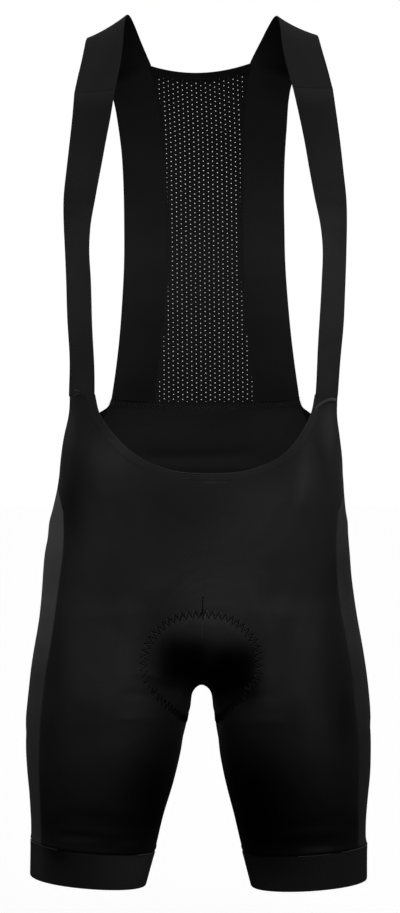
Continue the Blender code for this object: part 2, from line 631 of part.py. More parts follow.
def make_back_waist(cloth, collection):
    """One piece across the small of the back, between the side panels."""
    zs = waist_heights()
    seam = dict(BACK_SEAM)
    seam[WAIST_JOIN_Z] = float(read_table(BACK_SEAM_ROWS, row_of(WAIST_JOIN_Z)))
    edge_x = read_table(seam, zs)
    share = np.linspace(0.0, 1.0, BACK_COLUMNS + 1)
    xs = edge_x[:, None] * share
    fade = np.linspace(1.0, 0.0, len(zs))[:, None]
    heights = zs[:, None] - WAIST_DIP * fade * (1 - share**2)
    points, normals = mirrored_grid(*surface_at(level_places(xs, heights, True)))
    points = draw_in(points, (SEAM_PULL,) * 4)
    wall("back_waist", points, normals, PANEL_WALL, cloth["panel"], collection)


def make_grippers(cloth, collection):
    """A band round each leg end."""
    rows = np.linspace(GRIPPER_ROW, HEM_ROW, GRIPPER_ROWS + 1)
    around = np.linspace(0.0, 1.0, GRIPPER_COLUMNS + 1)
    points, normals = surface_at(np.stack(np.meshgrid(rows, around, indexing="ij"), -1))
    normals[:, -1] = normals[:, 0] = unit(normals[:, 0] + normals[:, -1])
    points = draw_in(points, (SEAM_PULL, 0.0, 0.0, 0.0)) + BAND_PROUD * normals
    for side, mirrored in (("left", False), ("right", True)):
        wall(f"gripper_{side}", points, normals, GRIPPER_WALL, cloth["gripper"], collection, mirrored)


def make_front_binding(cloth, collection):
    """The band along the front neckline, from strap to strap."""
    count = FRONT_COLUMNS - HORN_COLUMNS
    insets = np.linspace(0.0, BAND_WIDTH, BAND_ROWS + 1)
    grid = np.stack([neckline_points(count, inset) for inset in insets])
    points, normals = mirrored_grid(*surface_at(level_places(grid[..., 0], grid[..., 1], False)))
    points = draw_in(points, (0.0, SEAM_PULL, SEAM_PULL, SEAM_PULL)) + BAND_PROUD * normals
    wall("front_neck_binding", points, normals, BAND_WALL, cloth["binding"], collection)


# ---------------------------------------------------------------- bib and straps

def back_point(x, z):
    """Point on the back of the figure."""
    places = level_places(x, z, True)
    return figure(places[..., 0], places[..., 1])


def strap_edges(rows):
    """Inner and outer edge points of a run of strap rows."""
    return (np.array([(r.x_in, r.y_in, r.z_in) for r in rows]),
            np.array([(r.x_out, r.y_out, r.z_out) for r in rows]))


def bib_side_edges():
    """Both edges of the bib's side, from the back waist over the shoulder to the front strap."""
    inner = back_point([r.x_in for r in BIB_BACK], [r.z_in for r in BIB_BACK])
    outer = back_point([r.x_out for r in BIB_BACK], [r.z_out for r in BIB_BACK])
    over_in, over_out = strap_edges(SHOULDER)
    return np.vstack((inner, over_in)), np.vstack((outer, over_out))


class Strip:
    """A strip of cloth between two edges, read at its table rows and between them."""

    def __init__(self, inner, outer, bow):
        self.inner = inner
        self.outer = outer
        self.bow = bow
        middle = 0.5 * (inner + outer)
        steps = np.linalg.norm(np.diff(middle, axis=0), axis=1)
        self.along = np.concatenate(([0.0], np.cumsum(steps)))

    def points(self, place, across):
        """Points at a distance along the strip and a share across it."""
        near = smooth(self.inner, self.along, place)
        far = smooth(self.outer, self.along, place)
        both = self.inner + self.outer
        ahead = smooth(both, self.along, np.minimum(place + 1.0, self.along[-1]))
        behind = smooth(both, self.along, np.maximum(place - 1.0, 0.0))
        out = unit(np.cross(unit(far - near), unit(ahead - behind)))
        share = across[..., None]
        return near + (far - near) * share + 4 * share * (1 - share) * self.bow * out

    def normals(self, place, across):
        """Normals on the outer side of the strip."""
        step = 0.5
        place = np.clip(place, step, self.along[-1] - step)
        across = np.clip(across, 0.01, 0.99)
        ahead = self.points(place + step, across) - self.points(place - step, across)
        sideways = self.points(place, across + 0.01) - self.points(place, across - 0.01)
        return unit(np.cross(sideways, ahead))

    def grid(self, places, columns):
        """Points and normals over the strip."""
        across = np.linspace(0.0, 1.0, columns + 1)
        place, across = np.meshgrid(places, across, indexing="ij")
        return self.points(place, across), self.normals(place, across)


def bib_side_strip():
    """The bib's side as a strip, with the places where its pieces begin and end."""
    strip = Strip(*bib_side_edges(), STRAP_BOW)
    band_foot, band_top = strip.along[BAND_BOTTOM_ROW], strip.along[BAND_BOTTOM_ROW + 1]
    back = np.linspace(0.0, band_foot, BIB_ROWS + 1)
    neck = np.linspace(band_foot, band_top, BAND_ROWS + 1)
    over = np.linspace(band_top, strip.along[-1], SHOULDER_ROWS + 1)
    return strip, back, neck, over


def make_bib_sides(cloth, collection):
    """Side of the bib's back, in one piece with the shoulder."""
    strip, back, neck, over = bib_side_strip()
    places = np.concatenate((back, neck[1:], over[1:]))
    points, normals = strip.grid(places, BIB_SIDE_COLUMNS)
    points = draw_in(points, (SEAM_PULL, SEAM_PULL, SEAM_PULL, 0.0))
    for side, mirrored in (("left", False), ("right", True)):
        wall(f"bib_side_{side}", points, normals, PANEL_WALL, cloth["bib_side"], collection, mirrored)


def across_back(edge, dip):
    """Points on the back from the centre to an edge point, sagging at the centre by dip."""
    share = np.linspace(0.0, 1.0, MESH_COLUMNS + 1)
    return back_point(edge[0] * share, edge[2] - dip * (1 - share**2))


def make_back_piece(name, places, dips, thickness, proud, pull, material, collection):
    """A piece between the two sides of the bib; each of its rows sags by its own dip."""
    strip = bib_side_strip()[0]
    edges = strip.points(places, np.zeros_like(places))
    half = np.stack([across_back(edge, dip) for edge, dip in zip(edges, dips)])
    found = level_places(half[..., 0], half[..., 2], True)
    points, normals = mirrored_grid(half, figure_normals(found[..., 0], found[..., 1]))
    points = draw_in(points, pull) + proud * normals
    wall(name, points, normals, thickness, material, collection)


def make_back_centre(cloth, collection):
    """The mesh down the middle of the back and the band along the back neckline."""
    _, back, neck, _ = bib_side_strip()
    foot_dip = WAIST_DIP * (BIB_BACK[0].x_in / BIB_BACK[0].x_out)**2
    up_mesh = (back / back[-1])**4
    up_band = (neck - neck[0]) / (neck[-1] - neck[0])
    make_back_piece("bib_mesh", back, foot_dip + (MESH_DIP - foot_dip) * up_mesh, MESH_WALL, 0.0,
                    (SEAM_PULL,) * 4, cloth["mesh"], collection)
    make_back_piece("back_neck_band", neck, MESH_DIP + (NECK_DIP - MESH_DIP) * up_band, BAND_WALL,
                    BAND_PROUD, (SEAM_PULL, 0.0, SEAM_PULL, SEAM_PULL), cloth["binding"], collection)


def make_straps(cloth, collection):
    """Front straps, from the shoulder seam down to the top of the front panels."""
    inner, outer = strap_edges(STRAP)
    foot = level_places([NECKLINE[-1][0], HORN_OUTER_X], [HORN_TOP_Z, HORN_TOP_Z], False)
    foot_in, foot_out = figure(foot[:, 0], foot[:, 1])
    strip = Strip(np.vstack((inner, foot_in)), np.vstack((outer, foot_out)), STRAP_BOW)
    points, normals = strip.grid(np.linspace(0.0, strip.along[-1], STRAP_ROWS + 1), STRAP_COLUMNS)
    points = draw_in(points, (SEAM_PULL, SEAM_PULL * 2, 0.0, 0.0))
    for side, mirrored in (("left", False), ("right", True)):
        wall(f"strap_{side}", points, normals, STRAP_WALL, cloth["strap"], collection, mirrored)


# ---------------------------------------------------------------- seat pad

def around_at_distance(rows, distance, behind):
    """How far round each section lies at a distance along the cloth from its centre point."""
    share = np.linspace(0.0, 0.5, 81)
    around = 1.0 - share if behind else share
    found = []
    for row, reach in zip(rows, distance):
        curve = figure(np.full_like(around, row), around)
        run = np.concatenate(([0.0], np.cumsum(np.linalg.norm(np.diff(curve, axis=0), axis=1))))
        found.append(np.interp(reach, run, around))
    return np.array(found)


def centre_normals(rows):
    """Normals along the centre seam and the inseams, shared by the quarters that meet there."""
    front = figure_normals(rows, 0.0)
    back = figure_normals(rows, 1.0)
    on_trunk = rows <= CROTCH
    front[on_trunk, 0] = 0.0
    back[on_trunk, 0] = 0.0
    joined = (rows >= CROTCH)[:, None]
    return (unit(np.where(joined, unit(front) + unit(back), front)),
            unit(np.where(joined, unit(front) + unit(back), back)))


def make_seat_pad(cloth, collection):
    """The pad inside the seat: four quarters that meet at the centre seam and the inseams."""
    bm = bmesh.new()
    share = np.linspace(0.0, 1.0, PAD_COLUMNS + 1)
    crown = np.sqrt(np.clip(1 - share**2, 0.0, 1.0))
    for half, table in enumerate((PAD_FRONT, PAD_BACK)):
        rows = np.array(sorted(set(table) | set(PAD_EXTRA_ROWS)))
        reach = read_table(table, rows)
        edge = around_at_distance(rows, reach, behind=bool(half))
        around = half + (edge[:, None] - half) * share
        row_grid = np.broadcast_to(rows[:, None], around.shape)
        normals = figure_normals(row_grid, around)
        normals[:, 0] = centre_normals(rows)[half]
        taper = np.clip(2 * reach / reach.max(), 0.0, 1.0)[:, None]
        thickness = PAD_EDGE + (PAD_CORE - PAD_EDGE) * crown * taper
        points = figure(row_grid, around) - (PANEL_WALL + PAD_CLEARANCE) * normals
        for mirrored in (False, True):
            add_sheet(bm, points, normals, thickness, mirrored)
    finish_wall("seat_pad", bm, cloth["pad"], collection)


# ---------------------------------------------------------------- whole garment

def fabric(name, colour, roughness):
    """A plain cloth material."""
    material = bpy.data.materials.new(name)
    material.use_nodes = True
    shader = material.node_tree.nodes["Principled BSDF"]
    shader.inputs["Base Color"].default_value = (*colour, 1.0)
    shader.inputs["Roughness"].default_value = roughness
    shader.inputs["Metallic"].default_value = 0.0
    return material


def main():
    """Build the garment."""
    for obj in list(bpy.data.objects):
        bpy.data.objects.remove(obj, do_unlink=True)
    collection = bpy.data.collections.new(OBJECT_NAME)
    bpy.context.scene.collection.children.link(collection)
    cloth = {
        "panel": fabric("black_warp_knit", (0.012, 0.012, 0.014), 0.55),
        "side": fabric("grey_side_knit", (0.030, 0.031, 0.034), 0.75),
        "bib_side": fabric("bib_knit", (0.010, 0.010, 0.012), 0.65),
        "mesh": fabric("open_mesh", (0.008, 0.008, 0.009), 0.80),
        "strap": fabric("strap_elastic", (0.013, 0.013, 0.014), 0.60),
        "binding": fabric("neck_binding", (0.014, 0.014, 0.016), 0.60),
        "gripper": fabric("gripper_elastic", (0.009, 0.009, 0.010), 0.70),
        "pad": fabric("pad_foam", (0.020, 0.020, 0.022), 0.85),
    }
    make_panels(cloth, collection)
    make_back_waist(cloth, collection)
    make_grippers(cloth, collection)
    make_front_binding(cloth, collection)
    make_bib_sides(cloth, collection)
    make_back_centre(cloth, collection)
    make_straps(cloth, collection)
    make_seat_pad(cloth, collection)


main()
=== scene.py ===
"""Cycling bib shorts of black stretch knit, filled out as worn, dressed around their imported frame.

The front faces -Y, +X is the wearer's left, +Z is up, and the origin is where the shoulders carry
the straps.  Shapes are worked out in millimetres and written to the meshes in metres.  Cloth is
placed by (row, around) on one figure: "row" counts its sections from the shoulder blades down to
the hem, "around" runs from the centre front (0) past the side (0.5) to the centre back (1), and
below the crotch from the inseam round to the inseam.
"""
import logging
import math
from dataclasses import dataclass, field
from enum import Enum
from typing import NamedTuple

import bmesh
import bpy
import numpy as np
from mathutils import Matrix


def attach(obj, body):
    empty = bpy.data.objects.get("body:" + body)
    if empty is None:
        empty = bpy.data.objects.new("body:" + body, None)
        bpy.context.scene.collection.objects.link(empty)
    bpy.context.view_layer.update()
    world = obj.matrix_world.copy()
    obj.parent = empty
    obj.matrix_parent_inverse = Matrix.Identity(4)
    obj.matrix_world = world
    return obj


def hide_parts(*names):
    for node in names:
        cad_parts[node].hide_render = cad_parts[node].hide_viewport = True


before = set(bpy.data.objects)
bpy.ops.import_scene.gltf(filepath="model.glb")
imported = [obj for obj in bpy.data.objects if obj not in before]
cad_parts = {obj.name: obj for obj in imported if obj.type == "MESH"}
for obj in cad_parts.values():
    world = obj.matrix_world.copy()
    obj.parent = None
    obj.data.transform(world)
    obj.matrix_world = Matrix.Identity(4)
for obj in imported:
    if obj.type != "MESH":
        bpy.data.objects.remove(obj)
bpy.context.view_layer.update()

Array = np.ndarray
Object, Material = bpy.types.Object, bpy.types.Material
MM = 0.001
TINY = 1e-12                # keeps a zero vector from being divided by zero
log = logging.getLogger("bib_shorts")


# ------------ curves

def unit(vectors: Array) -> Array:
    """Vectors scaled to length 1."""
    return vectors / np.maximum(np.linalg.norm(vectors, axis=-1, keepdims=True), TINY)


def ease(share: Array) -> Array:
    """A soft step from 0 to 1 as share goes from 0 to 1."""
    share = np.clip(share, 0.0, 1.0)
    return share**2 * (3.0 - 2.0 * share)


def slopes(values: Array, params: Array, level_first: tuple = (), level_last: tuple = ()) -> Array:
    """Tangents of a smooth curve through rows of values.

    Args:
        values: one row for each parameter.
        params: rising parameters.
        level_first: columns that run level at the first row.
        level_last: columns that run level at the last row.

    Returns:
        The tangents, in the shape of values.
    """
    tangent = np.gradient(values, params, axis=0)
    tangent[0, list(level_first)] = 0.0
    tangent[-1, list(level_last)] = 0.0
    return tangent


def smooth(values: Array, params: Array, at: Array, tangent: Array | None = None) -> Array:
    """Cubic curve through rows of values, read at the given parameters.

    Args:
        values: one row for each parameter.
        params: rising parameters.
        at: the parameters to read at, in any shape.
        tangent: tangents at the rows, or None for natural ones.

    Returns:
        The rows read, with the shape of at and then one row's.
    """
    values = np.asarray(values, float).reshape(len(params), -1)
    params = np.asarray(params, float)
    if tangent is None:
        tangent = slopes(values, params)
    at = np.asarray(at, float)
    low = np.clip(np.searchsorted(params, at, side="right") - 1, 0, len(params) - 2)
    span = params[low + 1] - params[low]
    u = ((at - params[low]) / span)[..., None]
    span = span[..., None]
    return ((2 * u**3 - 3 * u**2 + 1) * values[low] + (u**3 - 2 * u**2 + u) * span * tangent[low]
            + (3 * u**2 - 2 * u**3) * values[low + 1] + (u**3 - u**2) * span * tangent[low + 1])


def read_table(table: dict[float, float], at: Array) -> Array:
    """One smooth column, kept as {place: value}, read at the given places."""
    places = sorted(table)
    return smooth([table[p] for p in places], places, at)[..., 0]


def lengths_along(points: Array) -> Array:
    """Distance run along a line of points, from its first one."""
    return np.concatenate(([0.0], np.cumsum(np.linalg.norm(np.diff(points, axis=0), axis=1))))


def resample(points: Array, count: int) -> Array:
    """Count + 1 points spaced evenly along a smooth curve through the given points."""
    points = np.asarray(points, float)
    along = lengths_along(points)
    return smooth(points, along, np.linspace(0.0, along[-1], count + 1))


def cubic_shares(u: Array) -> tuple[Array, ...]:
    """Shares of four evenly spaced neighbours in a smooth curve between the middle two."""
    return (0.5 * (-u + 2 * u**2 - u**3), 0.5 * (2 - 5 * u**2 + 3 * u**3),
            0.5 * (u + 4 * u**2 - 3 * u**3), 0.5 * (u**3 - u**2))


# ------------ the figure

class Level(NamedTuple):
    """A level section of the trunk, in millimetres."""

    half_breadth: float
    front: float
    back: float


class Seat(NamedTuple):
    """A section that sinks from the trunk to the crotch, in millimetres."""

    side_z: float
    half_breadth: float
    front_y: float
    front_z: float
    back_y: float
    back_z: float
    front_far: float
    back_far: float
    reach: float
    front_lean: float
    back_lean: float


class Leg(NamedTuple):
    """A section of one leg, in millimetres."""

    side_z: float
    half_breadth: float
    in_x: float
    in_y: float
    in_z: float
    front_far: float
    back_far: float
    reach: float
    front_lean: float
    back_lean: float


LEVELS = tuple(Level(*row) for row in (
    (152, 80, 74), (158, 88, 90), (160, 94, 99.5), (160, 98, 106), (160, 100, 108),
    (160, 101, 105.5), (157, 101, 101), (153, 100, 95), (148.5, 99, 90), (144.5, 98, 86),
    (145, 99, 84), (146, 101, 87), (151, 104, 96), (155.8, 106, 108), (160.2, 105, 119),
))
SEATS = tuple(Seat(*row) for row in (
    (-625, 164.4, -98, -618, 124, -612, -81, 88, 95, 12, 12),
    (-655, 170, -84, -645, 118, -640, -98, 103, 89, 34, 30),
    (-680, 175.6, -60, -668, 95, -664, -110, 113, 74, 68, 59),
    (-697, 178, -32, -682, 60, -681, -117, 123, 53, 99, 94),
    (-710, 180, 6, -688, 6, -688, -124, 129, 32, 140, 154),
))
LEGS = tuple(Leg(*row) for row in (
    (-722, 181.4, 6, 6, -690.5, -126, 128, 20, 139, 154),
    (-735, 182.2, 10.8, 5, -698, -126, 124.5, 14, 136, 153),
    (-750, 181.8, 12.7, 4, -714, -125.5, 120.5, 9, 132, 149),
    (-770, 178.6, 17.1, 2, -742, -124, 117.5, 4, 125, 140),
    (-795, 174.6, 26.5, 0, -787, -120, 115, 0, 115.5, 127),
    (-825, 172.3, 36.7, -2, -824, -112, 112, 0, 106, 112.5),
    (-848.7, 172.5, 45, -3, -858.5, -106, 104.5, 0, 98.5, 106.5),
    (-885.3, 173, 54.4, -4, -894.4, -97, 93.5, 0, 88.5, 96.5),
))


@dataclass
class Figure:
    """The general figure that fills the cloth out, on the wearer's left half.

    Its sections are pairs of cubic curves from a centre point to the side.  They are read onto a
    fine grid, which is relaxed where cloth bridges the fold between the seat and the thighs.
    """

    level_top: float = -30.0
    level_step: float = 40.0
    # How square a level section is at its centre lines and its sides, as shares of its size.
    level_reach: float = 0.58
    level_far: float = 0.60
    lines_per_row: int = 10
    lines_around: int = 160
    relax_from: float = 15.0
    relax_to: float = 24.0
    relax_fade: float = 2.5
    relax_margin: float = 0.07
    relax_pull: float = 0.5
    relax_passes: int = 220
    step: float = 0.02          # in rows, to measure a normal over
    side_arc: tuple[float, float] = (0.25, 0.80)
    halvings: int = 40
    run_samples: int = 81
    crotch: int = field(init=False)
    hem_row: int = field(init=False)
    grid: Array = field(init=False)

    def __post_init__(self) -> None:
        """Work out the section tables and the relaxed grid."""
        self.crotch = len(LEVELS) + len(SEATS) - 1
        self.hem_row = self.crotch + len(LEGS)
        heights = [self.level_top - self.level_step * i for i in range(len(LEVELS))]
        body = [(lv.half_breadth, z, -self.level_far * lv.front, self.level_far * lv.back,
                 self.level_reach * lv.half_breadth, 0.0, 0.0) for lv, z in zip(LEVELS, heights)]
        body += [(s.half_breadth, s.side_z, s.front_far, s.back_far, s.reach, s.front_lean, s.back_lean)
                 for s in SEATS + LEGS]
        centre = [(-lv.front, z, lv.back, z) for lv, z in zip(LEVELS, heights)]
        centre += [(s.front_y, s.front_z, s.back_y, s.back_z) for s in SEATS]
        inseam = [(0.0, SEATS[-1].front_y, SEATS[-1].front_z)]
        inseam += [(leg.in_x, leg.in_y, leg.in_z) for leg in LEGS]
        self._body = np.array(body)
        self._centre = np.array(centre)
        self._inseam = np.array(inseam)
        self._body_rows = np.arange(self.hem_row + 1, dtype=float)
        self._centre_rows = np.arange(self.crotch + 1, dtype=float)
        self._inseam_rows = np.arange(self.crotch, self.hem_row + 1, dtype=float)
        self._centre_slopes = slopes(self._centre, self._centre_rows, level_last=(1, 3))
        self._inseam_slopes = slopes(self._inseam, self._inseam_rows, level_first=(1, 2))
        self.grid = self._relaxed()

    def row_of(self, z: Array) -> Array:
        """Row number of a height on the level part of the trunk."""
        return (self.level_top - np.asarray(z, float)) / self.level_step

    def _centre_points(self, row: Array, half: int) -> Array:
        """Centre seam points at fractional rows; half is 0 in front, 1 behind."""
        both = smooth(self._centre, self._centre_rows, row, self._centre_slopes)
        found = both[..., 2 * half:2 * half + 2]
        return np.concatenate((np.zeros_like(found[..., :1]), found), -1)

    def _drawn(self, row: Array, around: Array) -> Array:
        """Points as the sections give them, before any relaxing."""
        tiny = 1e-3
        body = smooth(self._body, self._body_rows, row)
        upper = np.clip(row, tiny, self.crotch)
        lower = np.clip(row, self.crotch, self.hem_row)
        inseam = smooth(self._inseam, self._inseam_rows, lower, self._inseam_slopes)
        below = smooth(self._inseam, self._inseam_rows, lower + tiny, self._inseam_slopes)
        down = unit(below - inseam)
        on_leg = (row > self.crotch)[..., None]
        halves = []
        for half in (0, 1):
            on_seam = self._centre_points(upper, half)
            along = unit(on_seam - self._centre_points(upper - tiny, half))
            reach, lean = body[..., 4, None], body[..., 5 + half, None]
            ahead = np.array((0.0, 2.0 * half - 1.0, 0.0))
            centre = np.where(on_leg, inseam, on_seam)
            handle = np.where(on_leg, reach * down + lean * ahead,
                              reach * np.array((1.0, 0.0, 0.0)) - lean * along)
            side = np.stack((body[..., 0], np.zeros_like(row), body[..., 1]), -1)
            far = np.stack((body[..., 0], body[..., 2 + half], body[..., 1]), -1)
            u = (2.0 * around if half == 0 else 2.0 - 2.0 * around)[..., None]
            halves.append((1 - u)**3 * centre + 3 * u * (1 - u)**2 * (centre + handle)
                          + 3 * u**2 * (1 - u) * far + u**3 * side)
        return np.where((around > 0.5)[..., None], halves[1], halves[0])

    def _relaxed(self) -> Array:
        """The figure on its fine grid, relaxed between seat and thigh."""
        row = np.arange(self.hem_row * self.lines_per_row + 1) / self.lines_per_row
        around = np.linspace(0.0, 1.0, self.lines_around + 1)
        row, around = np.broadcast_arrays(row[:, None], around[None])
        grid = self._drawn(row, around)
        from_centre = np.minimum(around, 1.0 - around) / self.relax_margin
        from_ends = np.minimum(row - self.relax_from, self.relax_to - row) / self.relax_fade
        weight = (self.relax_pull * ease(from_centre) * ease(from_ends))[1:-1, 1:-1, None]
        for _ in range(self.relax_passes):
            mean = 0.25 * (grid[:-2, 1:-1] + grid[2:, 1:-1] + grid[1:-1, :-2] + grid[1:-1, 2:])
            grid[1:-1, 1:-1] += weight * (mean - grid[1:-1, 1:-1])
        return grid

    def points(self, row: Array, around: Array) -> Array:
        """Points of the figure at places (row, around), in millimetres."""
        row, around = np.broadcast_arrays(np.asarray(row, float), np.asarray(around, float))
        last_line = self.hem_row * self.lines_per_row
        line = np.clip(row, 0.0, self.hem_row) * self.lines_per_row
        place = np.clip(around, 0.0, 1.0) * self.lines_around
        slack = 1e-9        # a place on a grid line counts as past it
        i = np.clip(np.floor(line + slack).astype(int), 0, last_line - 1)
        j = np.clip(np.floor(place + slack).astype(int), 0, self.lines_around - 1)
        corner = self.crotch * self.lines_per_row
        lowest = np.where(i >= corner, corner, 0)
        highest = np.where(i >= corner, last_line, corner)
        total = 0.0
        for di, share_i in enumerate(cubic_shares(line - i), start=-1):
            for dj, share_j in enumerate(cubic_shares(place - j), start=-1):
                rows = np.clip(i + di, lowest, highest)
                places = np.clip(j + dj, 0, self.lines_around)
                total = total + (share_i * share_j)[..., None] * self.grid[rows, places]
        return total

    def normals(self, row: Array, around: Array) -> Array:
        """Outward normals; beside the crotch row the step stays on its own side of it."""
        row, around = np.broadcast_arrays(np.asarray(row, float), np.asarray(around, float))
        step, small = self.step, 0.1 * self.step
        row = np.where(np.abs(row - self.crotch) < step, self.crotch - 1.01 * step, row)
        row = np.clip(row, step, self.hem_row - step)
        around = np.clip(around, small, 1.0 - small)
        down = self.points(row + step, around) - self.points(row - step, around)
        across = self.points(row, around + small) - self.points(row, around - small)
        return unit(np.cross(down, across))

    def _search(self, row: Array, ends: tuple[float, float], axis: int, target: Array) -> Array:
        """Where sections pass a coordinate, between two places round them.

        Args:
            row: the sections.
            ends: the places, the one where the coordinate is below its target first.
            axis: 0 for x, 1 for y.
            target: the coordinate, in millimetres.

        Returns:
            The place round each section.
        """
        low, high = (np.full(row.shape, end) for end in ends)
        for _ in range(self.halvings):
            middle = 0.5 * (low + high)
            short = self.points(row, middle)[..., axis] < target
            low, high = np.where(short, middle, low), np.where(short, high, middle)
        return 0.5 * (low + high)

    def around_of(self, row: Array, x: Array, behind: bool) -> Array:
        """Where sections pass a distance from the centre plane, on their front or back half."""
        row, x = np.broadcast_arrays(np.asarray(row, float), np.asarray(x, float))
        return self._search(row, (float(behind), 0.5), 0, x)

    def around_at_depth(self, row: Array, y: Array) -> Array:
        """Where sections pass a depth, beside the side line."""
        return self._search(row, self.side_arc, 1, y)

    def around_at_distance(self, rows: Array, distance: Array, behind: bool) -> Array:
        """How far round sections lie at a distance along the cloth from their centre point."""
        share = np.linspace(0.0, 0.5, self.run_samples)
        around = 1.0 - share if behind else share
        found = []
        for row, reach in zip(rows, distance):
            run = lengths_along(self.points(np.full_like(around, row), around))
            found.append(np.interp(reach, run, around))
        return np.array(found)

    def level_places(self, x: Array, z: Array, behind: bool) -> Array:
        """Places (row, around) of points given by distance from the centre plane and height."""
        rows = self.row_of(z)
        return np.stack((rows, self.around_of(rows, x, behind)), -1)

    def surface(self, places: Array) -> tuple[Array, Array]:
        """Points and normals of the figure at an array of places."""
        row, around = places[..., 0], places[..., 1]
        return self.points(row, around), self.normals(row, around)

    def back_points(self, x: Array, z: Array) -> Array:
        """Points on the back of the trunk."""
        return self.surface(self.level_places(x, z, True))[0]


# ------------ cut and seams

class SideSpot(NamedTuple):
    """A point seen from the side, in millimetres."""

    y: float
    z: float


# Seams: distance from the centre plane, against the row.
FRONT_SEAM_ROWS = {12: 139.8, 13: 138.4, 14: 142.2, 15: 146.5, 16: 150.7, 17: 154.5, 18: 157,
                   19: 158.8, 21: 161, 23: 161.6, 26: 161, 27: 161}
BACK_SEAM_ROWS = {12: 118.5, 14: 121, 16: 124, 18: 127, 20: 130.5, 22: 134, 24: 137,
                  27: 139.5}
# The same seams and the armhole above the level where the shaped tops of the panels end.
ARMHOLE_FOOT = SideSpot(0, -472)
FRONT_SEAM_TOP = (ARMHOLE_FOOT, SideSpot(-10, -482), SideSpot(-28, -494))
BACK_SEAM = {-392: 98.7, -405: 102.5, -423: 109.5, -450: 114.5, -480: 117,
             -510: 118.5}
ARMHOLE_FRONT = (SideSpot(-34, -412), SideSpot(-26, -431), SideSpot(-13, -454),
                 ARMHOLE_FOOT)
ARMHOLE_REAR = (ARMHOLE_FOOT, SideSpot(8, -479.5), SideSpot(17, -482),
                SideSpot(26, -478), SideSpot(35, -463), SideSpot(43, -440),
                SideSpot(48.5, -421), SideSpot(56.4, -408.5), SideSpot(63, -400))
NECKLINE = ((0, -470.2), (20, -469.6), (38, -467.1), (50, -463.4), (66.5, -456.2),
            (79.6, -446.6), (95.8, -428.3), (106.8, -409.4), (111, -391))
# Edges of the bib's side seen from behind: x and z of the inner edge, x and z of the outer one.
BIB_BACK = np.array((
    (50.3, -395, 98.7, -392), (48.4, -365, 95, -365), (44.6, -330, 91, -330),
    (40, -290, 87.8, -290), (38.4, -250, 85.6, -250), (38.4, -208, 85.1, -208),
    (39, -172, 85.2, -172), (40.2, -132, 86.7, -132), (41.8, -102, 89.2, -105),
    (45, -68, 92.4, -78), (48.6, -50, 95.2, -66), (52, -40, 98.2, -57.5),
))
# Edges of the strap, first over the shoulder and then down the front: x, y and z of each.
SHOULDER = np.array((
    (56.2, 69, -31, 102.5, 55, -49), (62.4, 56, -19, 107.5, 43, -40),
    (69, 33, -6.5, 112.8, 26, -30), (75, 0, 0, 117, 0, -22), (77.6, -22, -4.5, 118.8, -17, -26),
    (79.2, -42, -18.5, 120.3, -31, -36), (80.4, -57, -38, 122.4, -42.5, -48),
    (83.6, -68.5, -60, 126.2, -52, -65), (89.1, -78, -85, 130.3, -62, -85),
))
STRAP = np.vstack((SHOULDER[-1:], (
    (93.8, -87, -112, 132.9, -70.5, -112), (98.9, -95, -140, 135.8, -78, -140),
    (103.1, -99.5, -165, 138.4, -81.5, -165), (109, -101, -197, 141.6, -81, -197),
    (114.3, -99.5, -225, 141.8, -76, -225), (115.9, -97, -243, 141.3, -71, -243),
    (114.8, -92, -281, 140.2, -64.5, -281), (113.5, -86, -317, 139.2, -58, -317),
    (111.8, -77.5, -355, 136.8, -49, -355),
)))
# Seat pad: half width along the cloth from the centre seam or inseam, against the row.
PAD_FRONT = {14.74: 7, 14.9: 22, 15.3: 37.5, 16: 52, 17: 65, 18: 78, 19: 91.5,
             20: 80, 21: 62, 22: 34, 22.35: 12}
PAD_BACK = {12.95: 8, 13.15: 24, 13.6: 40, 14.3: 51, 15: 58, 16: 68, 17: 75,
            18: 77, 19: 74, 20: 65, 21: 48, 22: 25, 22.35: 8}
EDGE_LINES = (0.25, 0.6, 1.1, 1.7, 2.5)     # grid lines added beside an edge, in millimetres
EVEN_FROM = 1.3             # even lines begin at this many times the last of those


def lines(count: int, width: float, first: bool = True, last: bool = True) -> Array:
    """Even shares across a width, with close ones added beside its edges.

    Args:
        count: how many even steps.
        width: the width in millimetres.
        first: whether to crowd the first edge.
        last: whether to crowd the last edge.

    Returns:
        Rising shares from 0 to 1.
    """
    near = np.array(EDGE_LINES) / width
    clear = EVEN_FROM * near[-1]
    even = np.linspace(0.0, 1.0, count + 1)
    keep = np.ones(even.shape, bool)
    if first:
        keep &= (even == 0.0) | (even > clear)
    if last:
        keep &= (even == 1.0) | (even < 1.0 - clear)
    parts = [even[keep]] + [near] * first + [1.0 - near] * last
    return np.unique(np.round(np.concatenate(parts), 9))


def snap(places: Array, to: float) -> Array:
    """The same rising places, with the one nearest to a value moved onto it."""
    places[np.argmin(np.abs(places - to))] = to
    return places


def patch(left: Array, right: Array, top: Array, bottom: Array, u: Array, v: Array) -> Array:
    """Grid of places inside four edges, sampled at shares u across and v down."""
    u, v = u[None, :, None], v[:, None, None]
    ruled = (1 - u) * left[:, None] + u * right[:, None] + (1 - v) * top[None] + v * bottom[None]
    corners = ((1 - u) * (1 - v) * top[0] + u * (1 - v) * top[-1] + (1 - u) * v * bottom[0]
               + u * v * bottom[-1])
    return ruled - corners


def read_along(points: Array, shares: Array) -> Array:
    """Points at shares of the length of a smooth curve through the given points."""
    points = np.asarray(points, float)
    along = lengths_along(points)
    return smooth(points, along, along[-1] * np.asarray(shares, float))


def spread(rows: Array, around: Array) -> Array:
    """Places (row, around) from rows down and places round."""
    return np.stack(np.broadcast_arrays(rows[:, None], around), -1)


